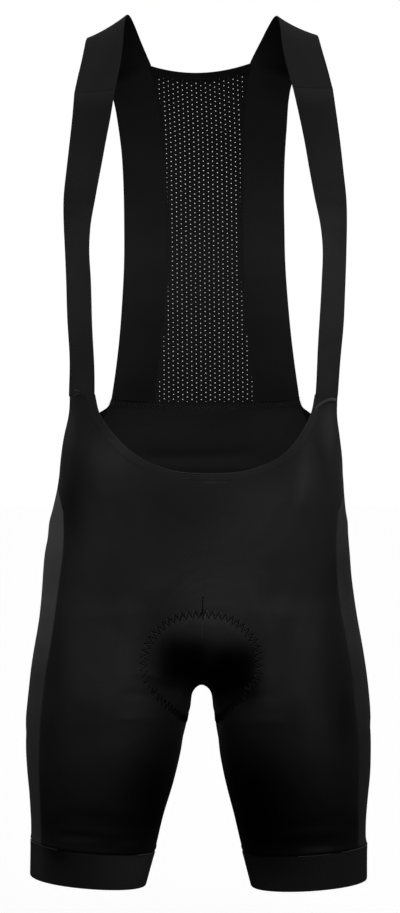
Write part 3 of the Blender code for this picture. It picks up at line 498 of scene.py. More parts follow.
@dataclass
class Pattern:
    """Where the cut pieces meet on the figure, as places (row, around)."""

    figure: Figure
    girth: float = 400.0
    block_z: float = -510.0
    waist_join_z: float = -526.0
    waist_dip: float = 4.0
    horn_top_z: float = -391.0
    horn_outer_x: float = 136.2
    horn_share: float = 0.25
    armhole_share: float = 0.7
    band_width: float = 8.0
    neckline_steps: int = 24
    # Sizes of the panels, for the crowding of grid lines at their edges alone.
    front_width: float = 178.0
    front_drop: float = 78.0
    side_width: float = 95.0
    side_drop: float = 60.0
    back_width: float = 190.0
    back_crowd: float = 1.15
    half_waist: float = 118.0
    row_samples: int = 400

    @property
    def block_row(self) -> float:
        """The row of the block level."""
        return float(self.figure.row_of(self.block_z))

    def front_seam(self, rows: Array) -> Array:
        """How far round the front and side panels meet, below the block level."""
        return self.figure.around_of(rows, read_table(FRONT_SEAM_ROWS, rows), False)

    def back_seam(self, rows: Array) -> Array:
        """How far round the side and back panels meet, below the block level."""
        return self.figure.around_of(rows, read_table(BACK_SEAM_ROWS, rows), True)

    def spots(self, spots: tuple[SideSpot, ...]) -> Array:
        """Places of points given by depth and height, beside the side line."""
        rows = self.figure.row_of([spot.z for spot in spots])
        depths = np.array([spot.y for spot in spots])
        return np.stack((rows, self.figure.around_at_depth(rows, depths)), -1)

    def along(self, places: Array, shares: Array) -> Array:
        """Places at shares of the length of a smooth edge."""
        stretch = np.array((self.figure.level_step, self.girth))
        return read_along(places * stretch, shares) / stretch

    def front_seam_top(self, shares: Array) -> Array:
        """Front seam from the armhole down to the block level."""
        foot = (self.block_row, float(self.front_seam(np.array(self.block_row))))
        return self.along(np.vstack((self.spots(FRONT_SEAM_TOP), foot)), shares)

    def back_seam_top(self, shares: Array) -> Array:
        """Back seam from the armhole's rear corner down to the block level."""
        z = max(BACK_SEAM) + (self.block_z - max(BACK_SEAM)) * shares
        return self.figure.level_places(read_table(BACK_SEAM, z), z, True)

    def neckline(self, shares: Array, inset: float) -> Array:
        """Front neckline as (x, z), centre to strap, moved down into the cloth by inset."""
        curve = resample(NECKLINE, self.neckline_steps)
        tangent = unit(np.gradient(curve, axis=0))
        moved = curve + inset * np.stack((tangent[:, 1], -tangent[:, 0]), -1)
        moved[0, 0] = 0.0
        moved = moved[moved[:, 1] < self.horn_top_z - 1.0]
        end = moved[-1] + (self.horn_top_z - moved[-1, 1]) * tangent[-1] / tangent[-1, 1]
        return read_along(np.vstack((moved, end)), shares)

    def lower_rows(self, step: float, bottom: float) -> Array:
        """Rows from the block level down to a row, a given distance apart at the side."""
        rows = np.linspace(self.block_row, bottom, self.row_samples)
        heights = self.figure.points(rows, 0.5)[:, 2]
        drop = heights[0] - heights[-1]
        share = lines(int(drop / step), drop, first=False)
        return snap(np.interp(share, (heights[0] - heights) / drop, rows), self.figure.crotch)

    def front_places(self, columns: int, upper: int, step: float, bottom: float) -> Array:
        """Grid of places of a front panel, neckline to gripper seam."""
        u = snap(lines(columns, self.front_width), 1 - self.horn_share)
        v = snap(lines(upper, self.front_drop, last=False), self.armhole_share)
        on_neck, on_horn = u[u <= 1 - self.horn_share], u[u > 1 - self.horn_share]
        neck = self.neckline(on_neck / (1 - self.horn_share), self.band_width)
        horn_x = neck[-1, 0] + (self.horn_outer_x - neck[-1, 0]) * (
            (on_horn - 1 + self.horn_share) / self.horn_share)
        horn_z = np.full(len(horn_x), self.horn_top_z)
        top = np.vstack((self.figure.level_places(neck[:, 0], neck[:, 1], False),
                         self.figure.level_places(horn_x, horn_z, False)))
        on_arm, on_seam = v[v <= self.armhole_share], v[v > self.armhole_share]
        armhole = self.along(np.vstack((top[-1], self.spots(ARMHOLE_FRONT))),
                             on_arm / self.armhole_share)
        seam = self.front_seam_top((on_seam - self.armhole_share) / (1 - self.armhole_share))
        right = np.vstack((armhole, seam))
        left = np.stack((top[0, 0] + (self.block_row - top[0, 0]) * v, np.zeros(len(v))), -1)
        foot = np.stack((np.full(len(u), self.block_row), right[-1, 1] * u), -1)
        rows = self.lower_rows(step, bottom)[1:]
        lower = spread(rows, self.front_seam(rows)[:, None] * u)
        return np.concatenate((patch(left, right, top, foot, u, v), lower))

    def side_places(self, columns: int, upper: int, step: float, bottom: float) -> Array:
        """Grid of places of a side panel, armhole to gripper seam."""
        u = lines(columns, self.side_width)
        v = lines(upper, self.side_drop, last=False)
        left, right = self.front_seam_top(v), self.back_seam_top(v)
        top = self.along(np.vstack((self.spots(ARMHOLE_REAR), right[0])), u)
        across = left[-1, 1] + (right[-1, 1] - left[-1, 1]) * u
        foot = np.stack((np.full(len(u), self.block_row), across), -1)
        rows = self.lower_rows(step, bottom)[1:]
        first, last = self.front_seam(rows)[:, None], self.back_seam(rows)[:, None]
        lower = spread(rows, first + (last - first) * u)
        return np.concatenate((patch(left, right, top, foot, u, v), lower))

    def back_places(self, columns: int, step: float, bottom: float) -> Array:
        """Grid of places of a back panel, back waist to gripper seam."""
        top = float(self.figure.row_of(self.waist_join_z))
        rows = self.lower_rows(step, bottom)
        near = (np.array((0.0,) + EDGE_LINES) / self.figure.level_step) + top
        apart = 0.03        # rows between the crowded lines and the next one
        rows = np.concatenate((near, rows[rows > near[-1] + apart]))
        first = self.back_seam(rows)[:, None]
        u = 1.0 - (1.0 - lines(columns, self.back_width))**self.back_crowd
        return spread(rows, first + (1.0 - first) * u)

    def waist_grid(self, columns: int, rows: int) -> tuple[Array, Array]:
        """Half of the back waist as x and z: from the centre to the side seams, top to bottom."""
        height = max(BACK_SEAM) - self.waist_join_z
        z = max(BACK_SEAM) - height * lines(rows, height)
        seam = dict(BACK_SEAM)
        join = float(self.figure.row_of(self.waist_join_z))
        seam[self.waist_join_z] = float(read_table(BACK_SEAM_ROWS, np.array(join)))
        share = lines(columns, self.half_waist, first=False)
        fade = ((z - z[-1]) / (z[0] - z[-1]))[:, None]
        dip = self.waist_dip * fade * (1 - share**2)
        return read_table(seam, z)[:, None] * share, z[:, None] - dip


@dataclass
class Strip:
    """A strip of cloth between two edges, a little hollow between them on its outer side.

    Attributes:
        hollow: how far its middle is set in, in millimetres.
        settle: distances from its first and last end over which it becomes flat.
    """

    inner: Array
    outer: Array
    hollow: float = 1.8
    settle: tuple[float, float] = (0.0, 0.0)
    step: float = 0.5           # along and across, to measure a normal over
    step_across: float = 0.01
    along: Array = field(init=False)

    def __post_init__(self) -> None:
        """Measure the strip along its middle."""
        self.along = lengths_along(0.5 * (self.inner + self.outer))

    def points(self, place: Array, across: Array) -> Array:
        """Points at a distance along the strip and a share across it."""
        near, far = smooth(self.inner, self.along, place), smooth(self.outer, self.along, place)
        both = self.inner + self.outer
        ahead = smooth(both, self.along, np.minimum(place + 2 * self.step, self.along[-1]))
        behind = smooth(both, self.along, np.maximum(place - 2 * self.step, 0.0))
        inward = unit(np.cross(unit(far - near), unit(ahead - behind)))
        share = across[..., None]
        depth = self.hollow * np.ones(np.shape(place))
        for gap, length in zip((place, self.along[-1] - place), self.settle):
            if length > 0.0:
                depth = depth * ease(gap / length)
        return near + (far - near) * share + 4 * share * (1 - share) * depth[..., None] * inward

    def normals(self, place: Array, across: Array) -> Array:
        """Normals on the outer side of the strip."""
        step, small = self.step, self.step_across
        place = np.clip(place, step, self.along[-1] - step)
        across = np.clip(across, small, 1 - small)
        ahead = self.points(place + step, across) - self.points(place - step, across)
        sideways = self.points(place, across + small) - self.points(place, across - small)
        return unit(np.cross(ahead, sideways))

    def grid(self, place: Array, across: Array, wall: float) -> tuple[Array, Array]:
        """Outer points and normals at distances along and shares across, for a wall's thickness."""
        place, across = np.meshgrid(place, across, indexing="ij")
        normals = self.normals(place, across)
        return self.points(place, across) + wall * normals, normals


FOOT_SETTLE = 30.0          # length over which straps and bib sides become flat at their feet
BAND_ROW = 10               # the mesh ends at this step of BIB_BACK, and the neck band fills the next


def bib_side_strip(figure: Figure) -> Strip:
    """The bib's side, from the back waist over the shoulder to the seam on the front strap."""
    x_in, z_in, x_out, z_out = BIB_BACK.T
    return Strip(np.vstack((figure.back_points(x_in, z_in), SHOULDER[:, :3])),
                 np.vstack((figure.back_points(x_out, z_out), SHOULDER[:, 3:])),
                 settle=(FOOT_SETTLE, 0.0))


def strap_strip(figure: Figure, pattern: Pattern) -> Strip:
    """A front strap, from the shoulder seam to the top of the front panel."""
    foot = figure.level_places(np.array((NECKLINE[-1][0], pattern.horn_outer_x)),
                               np.full(2, pattern.horn_top_z), False)
    foot_in, foot_out = figure.surface(foot)[0]
    return Strip(np.vstack((STRAP[:, :3], foot_in)), np.vstack((STRAP[:, 3:], foot_out)),
                 settle=(0.0, FOOT_SETTLE))


# ------------ stance

class Stance(NamedTuple):
    """Sideways shift of one level, at its side line, its front, its back and between the legs.

    rise is how far a level climbs towards the wearer's right, for each millimetre sideways, and
    turn is what the seams between front and sides shift beyond their level.
    """

    z: float
    side: float
    front: float
    back: float
    inner: float
    rise: float = 0.0
    turn: float = 0.0


# The wearer stands with the weight on one leg and the hips turned a little, in millimetres.
STANCE = tuple(Stance(*row) for row in (
    (0, -1.6, -1, -3, 0, 0.008), (-55, -1.1, -0.9, -3, 0, -0.032), (-110, 0.5, 1.4, -0.7, 0),
    (-190, 1.1, 1.4, 0.7, 0), (-275, 2, 2.7, 1.6, 0), (-350, 1.6, 2.2, 2.3, 0),
    (-400, -0.6, 4.6, 2.6, 0), (-440, -2.4, 6.4, 1.5, 0), (-480, -2.8, 6, -1, 0, 0, 0.8),
    (-520, -5.4, 4.4, -4.5, 0, 0, 1.8), (-560, -6.6, 2, -7, 0, 0, 1.6),
    (-600, -6, -1, -8, 0, 0, 0.4), (-650, -4.9, -2, -8, 1.2, 0, -1.2),
    (-700, -5.4, -2.3, -7.5, 3.5, 0, -0.8), (-750, -5.6, -3, -7, 2.6, 0, 0.8),
    (-800, -5.2, -4, -6, 1.2, 0, 0.7), (-850, -5.1, -4.5, -5.5, 0.1, 0.009, 1.6),
    (-900, -5.2, -4.7, -5.5, 0, 0.010),
))


# Depths in millimetres over which the shifts of front, back and seams grow to their full size.
FRONT_FROM, FRONT_OVER, BACK_OVER, SEAM_OVER = 40.0, 60.0, 90.0, 30.0
INNER_REACH = 45.0          # how far from the centre plane the shift between the legs dies out


def stand(points: Array) -> Array:
    """Points of the even, upright garment moved to the stance it is worn in."""
    table = np.array(STANCE)
    level = np.clip(-points[..., 2], 0.0, -table[-1, 0])
    shifts = smooth(table[:, 1:], -table[:, 0], level)
    side, front, back, inner, rise, turn = np.moveaxis(shifts, -1, 0)
    ahead = ease((-points[..., 1] - FRONT_FROM) / FRONT_OVER)
    behind = ease(points[..., 1] / BACK_OVER)
    shift = side + (front - side) * ahead + (back - side) * behind
    shift = shift + inner * np.exp(-(points[..., 0] / INNER_REACH)**2)
    shift = shift + turn * ease(-points[..., 1] / SEAM_OVER) * (1.0 - ahead)
    return points + np.stack((shift, np.zeros_like(shift), -rise * points[..., 0]), -1)


# ------------ folds

class View(Enum):
    """The side that a fold is drawn on: axis across it, axis it faces along, and which way."""

    FRONT = (0, 1, -1.0)
    BACK = (0, 1, 1.0)
    LEFT = (1, 0, 1.0)
    RIGHT = (1, 0, -1.0)


FACING_FROM, FACING_OVER = 0.05, 0.35       # how far cloth must face a view to take up its folds


class Fold(NamedTuple):
    """A soft ridge between two points of one view, or a furrow where its height is negative."""

    view: View
    across_from: float
    z_from: float
    across_to: float
    z_to: float
    bend: float
    width: float
    height: float

    def raise_at(self, points: Array, normals: Array) -> Array:
        """How far the fold lifts the cloth at each point, in millimetres."""
        across, facing, sign = self.view.value
        start = np.array((self.across_from, self.z_from))
        line = np.array((self.across_to, self.z_to)) - start
        length = float(np.linalg.norm(line))
        offset = np.stack((points[..., across], points[..., 2]), -1) - start
        share = offset @ line / length**2
        aside = (offset[..., 0] * line[1] - offset[..., 1] * line[0]) / length
        inside = np.clip(share, 0.0, 1.0)
        past = (share - inside) * length
        aside = aside - self.bend * 4 * inside * (1 - inside)
        taper = ease(4.0 * inside) * ease(4.0 * (1 - inside))
        seen = ease((sign * normals[..., facing] - FACING_FROM) / FACING_OVER)
        return self.height * seen * taper * np.exp(-(aside**2 + past**2) / self.width**2)


FOLDS = tuple(Fold(view, *row) for view, rows in {
    View.FRONT: (
        # Pull of the straps on the top of the front panels.
        (-116, -430, -104, -505, 3, 6, 1.1), (-141, -436, -137, -545, -2, 7, -0.9),
        (-128, -405, -123, -470, 1, 4, 0.6), (104, -430, 93, -515, -3, 7, 1.2),
        (122, -440, 115, -540, 3, 7, -1), (128, -405, 124, -462, -1, 4, 0.6),
        # Belly: shallow waves that run down from the neckline.
        (-62, -480, -40, -590, 6, 17, -0.8), (48, -480, 66, -600, -5, 18, 0.9),
        (-92, -560, -60, -640, 8, 12, 0.7), (96, -560, 64, -640, -8, 13, 0.7),
        # Groin: short folds that fan out from the crotch.
        (-18, -690, -74, -668, 4, 4, 0.7), (-20, -704, -84, -690, 3, 4.5, -0.7),
        (-24, -722, -88, -716, 2, 4.5, 0.6), (18, -690, 72, -670, -4, 4, 0.7),
        (20, -706, 82, -692, -3, 4.5, -0.7), (24, -724, 90, -719, -2, 4.5, 0.6),
        # Thighs: long soft ridges down the front.
        (-92, -675, -96, -775, 2, 10, 1), (-122, -690, -118, -800, -2, 12, -0.7),
        (98, -675, 104, -780, -2, 10, 1), (126, -690, 122, -800, 2, 12, -0.7),
        # Above the grippers the cloth bulges and buckles a little.
        (-40, -838, -160, -828, 2, 4.5, 0.9), (-60, -826, -150, -812, 3, 6, -0.6),
        (40, -836, 160, -830, -2, 4.5, 0.8), (70, -824, 158, -814, 2, 6, -0.5),
    ),
    View.BACK: (
        (-50, -842, -160, -834, 2, 4.5, 0.8), (50, -842, 160, -834, -2, 4.5, 0.8),
        # Under the seat.
        (-26, -716, -120, -724, -9, 6.5, -1.5), (-34, -734, -112, -746, -6, 6, 1),
        (-40, -752, -96, -764, -4, 5, -0.7), (26, -714, 122, -726, 9, 6.5, -1.5),
        (34, -732, 114, -748, 6, 6, 1), (42, -750, 94, -760, 4, 5, -0.7),
        # Small of the back.
        (-84, -452, 70, -446, 5, 6, 0.9), (-58, -468, 92, -472, -4, 7, -0.8),
        (-96, -500, 40, -494, 3, 6, 0.6),
    ),
    View.LEFT: (
        # Sides, at the waist and beside the hip.
        (-34, -520, 60, -508, 5, 8, 0.8), (-20, -545, 66, -540, -4, 8, -0.7),
        (-30, -716, 20, -760, -3, 9, -0.8),
    ),
    View.RIGHT: (
        (-34, -514, 60, -522, 4, 8, 0.8), (-20, -540, 66, -548, -4, 8, -0.7),
        (-30, -712, 20, -756, 3, 9, -0.8),
    ),
}.items() for row in rows)


class Hand(Enum):
    """The half of the garment that a piece is on; its value mirrors x."""

    LEFT = 1.0
    RIGHT = -1.0

    def mirror(self, vectors: Array) -> Array:
        """Points or directions of the wearer's left half moved to this half."""
        return vectors * np.array((self.value, 1.0, 1.0))


@dataclass
class PadOutline:
    """The seat pad's outline on one half, front or back, as distances along the cloth."""

    figure: Figure
    behind: bool
    steps: int = 60
    far: float = 40.0
    rows: Array = field(init=False)
    reach: Array = field(init=False)
    places: Array = field(init=False)

    def __post_init__(self) -> None:
        """Read the outline's table finely, as widths and as places (row, around)."""
        table = PAD_BACK if self.behind else PAD_FRONT
        shares = 0.5 - 0.5 * np.cos(np.linspace(0.0, math.pi, self.steps))
        self.rows = min(table) + (max(table) - min(table)) * shares
        self.reach = np.maximum(read_table(table, self.rows), 0.0)
        around = self.figure.around_at_distance(self.rows, self.reach, self.behind)
        ends = [(row, float(self.behind)) for row in (min(table), max(table))]
        self.places = np.vstack((ends[0], np.stack((self.rows, around), -1), ends[1]))
        self._corners = self.figure.surface(self.places)[0]

    def depth(self, points: Array, rows: Array, run: Array) -> Array:
        """How far places lie inside the outline, in millimetres; outside is negative.

        Args:
            points: the places as points of the figure.
            rows: row of each place.
            run: distance of each place along the cloth from the centre seam or inseam.

        Returns:
            The signed distance, no more than "far".
        """
        nearest = np.full(rows.shape, self.far)
        for start, end in zip(self._corners[:-1], self._corners[1:]):
            line = end - start
            share = np.clip((points - start) @ line / max(line @ line, 1e-9), 0.0, 1.0)
            away = np.linalg.norm(points - start - share[..., None] * line, axis=-1)
            nearest = np.minimum(nearest, away)
        width = np.interp(rows, self.rows, self.reach, left=-1.0, right=-1.0)
        return np.where(run <= width, nearest, -nearest)


@dataclass
class Skin:
    """The surface that the cloth is worn on: the figure, its folds and the swell of the pad."""

    figure: Figure
    swell: float = 0.9
    shoulder: float = 12.0
    groove: float = 0.45        # pulled by the stitches round the pad
    groove_at: float = 1.0
    groove_width: float = 2.6
    # Slow waves: height, radians to the metre along x and z, and phase.
    ripples: tuple = ((0.35, 61.0, 14.0, 0.7), (0.3, -38.0, 47.0, 2.1), (0.25, 24.0, -71.0, 4.0))
    ripple_depth: float = 40.0
    pads: dict = field(init=False)

    def __post_init__(self) -> None:
        """Measure every section from its centre points, for the pad's outline."""
        self.pads = {behind: PadOutline(self.figure, behind) for behind in (False, True)}
        steps = np.linalg.norm(np.diff(self.figure.grid, axis=1), axis=2)
        run = np.pad(np.cumsum(steps, axis=1), ((0, 0), (1, 0)))
        self._runs = {False: run, True: run[:, -1:] - run}

    def run(self, row: Array, around: Array, behind: bool) -> Array:
        """Distance along a section from its centre point."""
        table = self._runs[behind]
        line = np.clip(row * self.figure.lines_per_row, 0, table.shape[0] - 1.001)
        place = np.clip(around * self.figure.lines_around, 0, table.shape[1] - 1.001)
        i, j = line.astype(int), place.astype(int)
        a, b = line - i, place - j
        return ((1 - a) * ((1 - b) * table[i, j] + b * table[i, j + 1])
                + a * ((1 - b) * table[i + 1, j] + b * table[i + 1, j + 1]))

    def pad_depth(self, row: Array, around: Array) -> Array:
        """How far places lie inside the outline of the pad; outside is negative."""
        points = self.figure.points(row, around)
        halves = [self.pads[behind].depth(points, row, self.run(row, around, behind))
                  for behind in (False, True)]
        return np.where(around > 0.5, halves[1], halves[0])

    def at(self, places: Array, hand: Hand) -> tuple[Array, Array]:
        """Points and normals of the worn cloth at places (row, around), on one half."""
        points, normals = (hand.mirror(part) for part in self.figure.surface(places))
        return points + self.height(points, normals, places)[..., None] * normals, normals

    def height(self, points: Array, normals: Array, places: Array | None = None) -> Array:
        """How far folds, ripples and the pad lift the cloth."""
        total = sum(fold.raise_at(points, normals) for fold in FOLDS)
        for size, per_x, per_z, phase in self.ripples:
            run = (per_x * points[..., 0] + per_z * points[..., 2]
                   + self.ripple_depth * points[..., 1])
            total = total + size * np.sin(MM * run + phase)
        if places is not None:
            depth = self.pad_depth(places[..., 0], places[..., 1])
            total = total + self.swell * ease(depth / self.shoulder)
            total = total - self.groove * np.exp(-((depth - self.groove_at) / self.groove_width)**2)
        return total


# ------------ painted light and shade

class Area(NamedTuple):
    """A soft area of painted shade or painted highlight, darker or lighter than the rest, in
    millimetres.

    edge is how sharply it ends: 2 is a soft oval, more is a rounded box.
    """

    x: float
    z: float
    half_width: float
    half_height: float
    change: float
    edge: float = 2.0

    def factor(self, points: Array) -> Array:
        """What it multiplies the tone by at each point."""
        aside = np.abs((points[..., 0] - self.x) / self.half_width)
        down = np.abs((points[..., 2] - self.z) / self.half_height)
        return 1.0 + self.change * np.exp(-aside**self.edge - down**self.edge)


@dataclass(frozen=True)
class Shade:
    """Painted light and shade: a share of a cloth's colour, lower where shade falls, higher where light
    falls.

    Attributes:
        levels: share of full colour against the distance down from the shoulders.
        areas: soft areas that change it further.
    """

    levels: dict[float, float]
    areas: tuple[Area, ...] = ()

    def tone(self, points: Array) -> Array:
        """Share of full colour at each point."""
        share = np.interp(-points[..., 2], list(self.levels), list(self.levels.values()))
        for area in self.areas:
            share = share * area.factor(points)
        return share


SHADES = {
    # Front panels and front binding: painted shade, darker down the legs towards the grippers.
    "front": Shade({690: 1, 740: 0.76, 775: 0.58, 805: 0.46, 823: 0.3, 838: 0.4}, (
        # Painted shade and highlights beside the armholes, and painted highlights where the straps
        # pull.
        Area(-134, -492, 16, 38, -0.5), Area(-134, -528, 14, 26, -0.2),
        Area(-135, -425, 6, 22, 0.6), Area(-95, -452, 22, 22, 0.7),
        Area(102, -465, 14, 30, 0.7), Area(95, -550, 40, 70, 0.2),
        Area(-112, -545, 18, 60, 0.15), Area(112, -415, 14, 22, 0.5),
        Area(129, -425, 9, 28, 1.2),
        # Belly: painted shade left of the centre, a painted highlight where stretched over the pad's
        # tip.
        Area(-25, -505, 45, 40, -0.22), Area(10, -625, 42, 46, 1.4),
        Area(48, -575, 20, 22, 0.2),
        # Painted shade under the pad, inside its stitching, where the cloth turns under.
        Area(-16, -661, 26, 27, -0.9, 4), Area(33, -672, 27, 31, -0.93, 4),
        Area(8, -682, 22, 26, -0.6, 4),
        # Painted highlights over the groins; painted shade and one highlight round the hips.
        Area(-68, -655, 18, 50, 0.45), Area(64, -655, 16, 45, 0.3),
        Area(132, -660, 22, 60, -0.35), Area(-148, -665, 12, 50, -0.35),
        Area(138, -585, 16, 50, -0.2), Area(148, -712, 16, 40, -0.4),
        Area(116.5, -718, 13, 21, 0.4), Area(-142, -610, 12, 60, -0.15),
        Area(-152, -740, 14, 40, -0.2),
        # Painted highlights on the lips of cloth that bulge over the grippers.
        Area(-120, -839, 20, 3.5, 0.5, 4), Area(-72, -844, 9, 3, 0.5, 4),
        Area(117, -846, 17, 3, 1, 4),
        # Painted shade on the insides of the thighs.
        Area(52, -806, 55, 78, -0.92), Area(-46, -795, 30, 50, -0.65),
        Area(90, -838, 60, 10, -0.4),
    )),
    # Side panels: painted light, lighter at the top, darker towards the hem and at the outer sides.
    "side": Shade({500: 1.68, 530: 1.56, 560: 1.36, 590: 1.42, 620: 1.18, 650: 0.98,
                   680: 0.8, 714: 0.75, 750: 0.68, 786: 0.67, 820: 0.61}, (
        Area(175, -550, 60, 95, -0.5, 3), Area(175, -750, 60, 130, -0.37, 3),
    )),
    # Straps: painted shade, darkest near the shoulders; a painted highlight on the strap at +X.
    "strap": Shade({88: 0.38, 104: 0.26, 130: 0.27, 170: 0.36, 200: 0.43, 218: 0.56,
                    236: 0.69, 400: 0.65}, (
        Area(125, -300, 60, 130, 0.3),
    )),
    # Inner faces of the bib's sides: painted shade, darker towards the waist and at -X.
    "bib": Shade({70: 0.95, 240: 1.08, 280: 0.9, 320: 0.74, 350: 0.7, 395: 0.56}, (
        Area(-60, -230, 50, 400, -0.24),
    )),
    # Inner face of the mesh: painted shade, darker towards the waist.
    "mesh": Shade({60: 0.85, 250: 0.85, 400: 0.6}),
    # Inner face of the back waist: painted shade, darkest at its top under the bib's foot; a painted
    # highlight at +X.
    "waist": Shade({401: 0.5, 404: 0.62, 426: 0.78, 442: 0.84, 455: 0.9, 475: 1}, (
        Area(80, -415, 30, 30, 0.4),
    )),
    # Grippers: painted light and shade in soft areas round both bands.
    "gripper": Shade({0: 1}, (
        Area(-120, -868, 50, 60, -0.25), Area(-143, -853, 15, 16, -0.5),
        Area(-165, -865, 8, 30, 0.5), Area(-64, -870, 36, 40, 0.9),
        Area(75, -860, 42, 22, -0.4),
    )),
}


# ------------ cloth walls

class Side(Enum):
    """An edge of a cloth's grid."""

    TOP = "top"
    BOTTOM = "bottom"
    FIRST = "first"
    LAST = "last"


# A sewn edge, in millimetres from it: where its swell lies, how wide that and its trough are.
SWELL_AT, SWELL_WIDTH, TROUGH_WIDTH = 2.8, 1.6, 0.9
THINNEST = 0.35             # no seam presses the cloth thinner than this
WELD = 0.01                 # points this close are joined
CREASE = math.radians(60.0)     # edges sharper than this are shaded as edges
ROUNDED = 0.9               # how fully a free edge is rounded
FLATLOCK = (2.2, 3.6)       # pitch and width of the stitches over the seams
LEG_SEAM = {"trough": 0.9, "swell": 0.7}    # the deep seam where panels bulge over the grippers


@dataclass
class Cloth:
    """A grid of outer points that becomes a closed wall of cloth.

    Attributes:
        name: the piece's name.
        points: rows of columns of outer points, in millimetres.
        normals: the outward normal at each.
        wall: how thick the cloth is, in millimetres.
        tone: share of full colour at each point, as painted light and shade.
        inside: share of full colour on the inner face, as painted light and shade.
        stretch: how far the worn cloth is stretched, across and down.
    """

    name: str
    points: Array
    normals: Array
    wall: float | Array = 0.9
    tone: float | Array = 1.0
    inside: float | Array = 1.0
    stretch: tuple[float, float] = (1.12, 1.05)

    def __post_init__(self) -> None:
        """Measure the grid along its rows and its columns."""
        across = np.linalg.norm(np.diff(self.points, axis=1), axis=2)
        down = np.linalg.norm(np.diff(self.points, axis=0), axis=2)
        self.across = np.pad(np.cumsum(across, axis=1), ((0, 0), (1, 0)))
        self.down = np.pad(np.cumsum(down, axis=0), ((1, 0), (0, 0)))
        self.wall = self.wall * np.ones(self.points.shape[:2])

    def gap(self, side: Side) -> Array:
        """Distance of each point from an edge."""
        return {Side.TOP: self.down, Side.BOTTOM: self.down[-1:] - self.down,
                Side.FIRST: self.across, Side.LAST: self.across[:, -1:] - self.across}[side]

    def lift(self, height: Array) -> None:
        """Move the outer points out along their normals."""
        self.points = self.points + np.asarray(height)[..., None] * self.normals

    def sew(self, *sides: Side, trough: float = 0.55, swell: float = 0.3,
            where: float | Array = 1.0) -> "Cloth":
        """Sink sewn edges into a narrow trough with a soft swell of folded cloth beside it.

        Args:
            sides: the edges.
            trough: depth at the edge, in millimetres.
            swell: height beside it.
            where: share of that at each point.

        Returns:
            The cloth itself.
        """
        for side in sides:
            gap = self.gap(side)
            height = where * (swell * np.exp(-((gap - SWELL_AT) / SWELL_WIDTH)**2)
                              - trough * np.exp(-(gap / TROUGH_WIDTH)**2))
            self.lift(height)
            self.wall = np.maximum(self.wall + height, THINNEST)
        return self

    def roll(self, *sides: Side, where: float | Array = 1.0) -> "Cloth":
        """Round free edges over to half the cloth's thickness."""
        for side in sides:
            radius = 0.5 * self.wall
            near = np.clip(radius - self.gap(side), 0.0, radius)
            drop = where * (radius - np.sqrt(np.maximum(radius**2 - near**2, 0.0)))
            self.lift(-ROUNDED * drop)
            self.wall = self.wall - 2 * ROUNDED * drop
        return self

    def flat(self) -> tuple[tuple[float, float], float]:
        """Width and length in metres that the cloth was cut to, and its flat area."""
        corner, right, below = self.points[:-1, :-1], self.points[:-1, 1:], self.points[1:, :-1]
        area = np.linalg.norm(np.cross(right - corner, below - corner), axis=2).sum() * MM**2
        width, length = (float(run.max()) * MM / share
                         for run, share in zip((self.across, self.down), self.stretch))
        return (width, length), min(float(area) / math.prod(self.stretch), width * length)


def half_cloth(name: str, hand: Hand, points: Array, normals: Array, **settings: float) -> Cloth:
    """Cloth of one half, from points and normals of the left one."""
    return Cloth(f"{name}_{hand.name.lower()}", hand.mirror(points), hand.mirror(normals), **settings)


def build_wall(name: str, sheets: list[Cloth], finish: Material) -> Object:
    """Weld sheets together, give them their thickness and make the object.

    Args:
        name: the object's name.
        sheets: grids that meet point on point, or one grid alone.
        finish: the cloth's material.

    Returns:
        The piece, at the origin.
    """
    bm = bmesh.new()
    layers = Layers.new(bm)
    for sheet in sheets:
        rows, columns = sheet.points.shape[:2]
        made = bmesh.ops.create_grid(bm, x_segments=columns - 1, y_segments=rows - 1, size=1.0)
        tone, inside = (value * np.ones((rows, columns)) for value in (sheet.tone, sheet.inside))
        marks = np.stack((sheet.across * MM, sheet.down * MM, tone), -1)
        layers.write(made["verts"], sheet.points, sheet.normals * sheet.wall[..., None], marks, inside)
    bmesh.ops.remove_doubles(bm, verts=bm.verts, dist=WELD * MM)
    layers.thicken(bm)
    return finished(name, bm, finish)


class Layers(NamedTuple):
    """What every point of a sheet in the making carries.

    Attributes:
        inward: the step to its inner face, in metres.
        cloth: its place on the cloth in metres, across and down, and its tone of painted light and
            shade.
        inside: its tone of painted light and shade on the inner face.
    """

    inward: bmesh.types.BMLayerItem
    cloth: bmesh.types.BMLayerItem
    inside: bmesh.types.BMLayerItem

    @classmethod
    def new(cls, bm: bmesh.types.BMesh) -> "Layers":
        """Add the layers to a mesh in the making."""
        vectors = bm.verts.layers.float_vector
        vectors.new("inward")
        vectors.new("cloth")
        bm.verts.layers.float.new("inside")
        return cls(vectors["inward"], vectors["cloth"], bm.verts.layers.float["inside"])

    def write(self, verts: list[bmesh.types.BMVert], points: Array, walls: Array, marks: Array,
              inside: Array) -> None:
        """Put one grid's points in their places, and note what they carry."""
        outer = stand(points) * MM
        steps = stand(points - walls) * MM - outer
        for vert, place, step, mark, tone in zip(verts, outer.reshape(-1, 3), steps.reshape(-1, 3),
                                                 marks.reshape(-1, 3), inside.ravel()):
            vert.co, vert[self.inward], vert[self.cloth] = place, step, mark
            vert[self.inside] = tone

    def thicken(self, bm: bmesh.types.BMesh) -> None:
        """Turn an open sheet into a closed wall, each point by its own inward step."""
        inner = bmesh.ops.extrude_face_region(bm, geom=bm.faces[:])["geom"]
        for element in inner:
            if isinstance(element, bmesh.types.BMVert):
                element.co += element[self.inward]
                # The inner face takes the painted light and shade of the inside.
                across, down, _ = element[self.cloth]
                element[self.cloth] = (across, down, element[self.inside])
        bmesh.ops.recalc_face_normals(bm, faces=bm.faces)


def placed(mesh: bpy.types.Mesh, finish: Material) -> Object:
    """Give a mesh its material and put it in the scene, as an object of the same name."""
    mesh.materials.append(finish)
    obj = bpy.data.objects.new(mesh.name, mesh)
    bpy.context.scene.collection.objects.link(obj)
    return obj


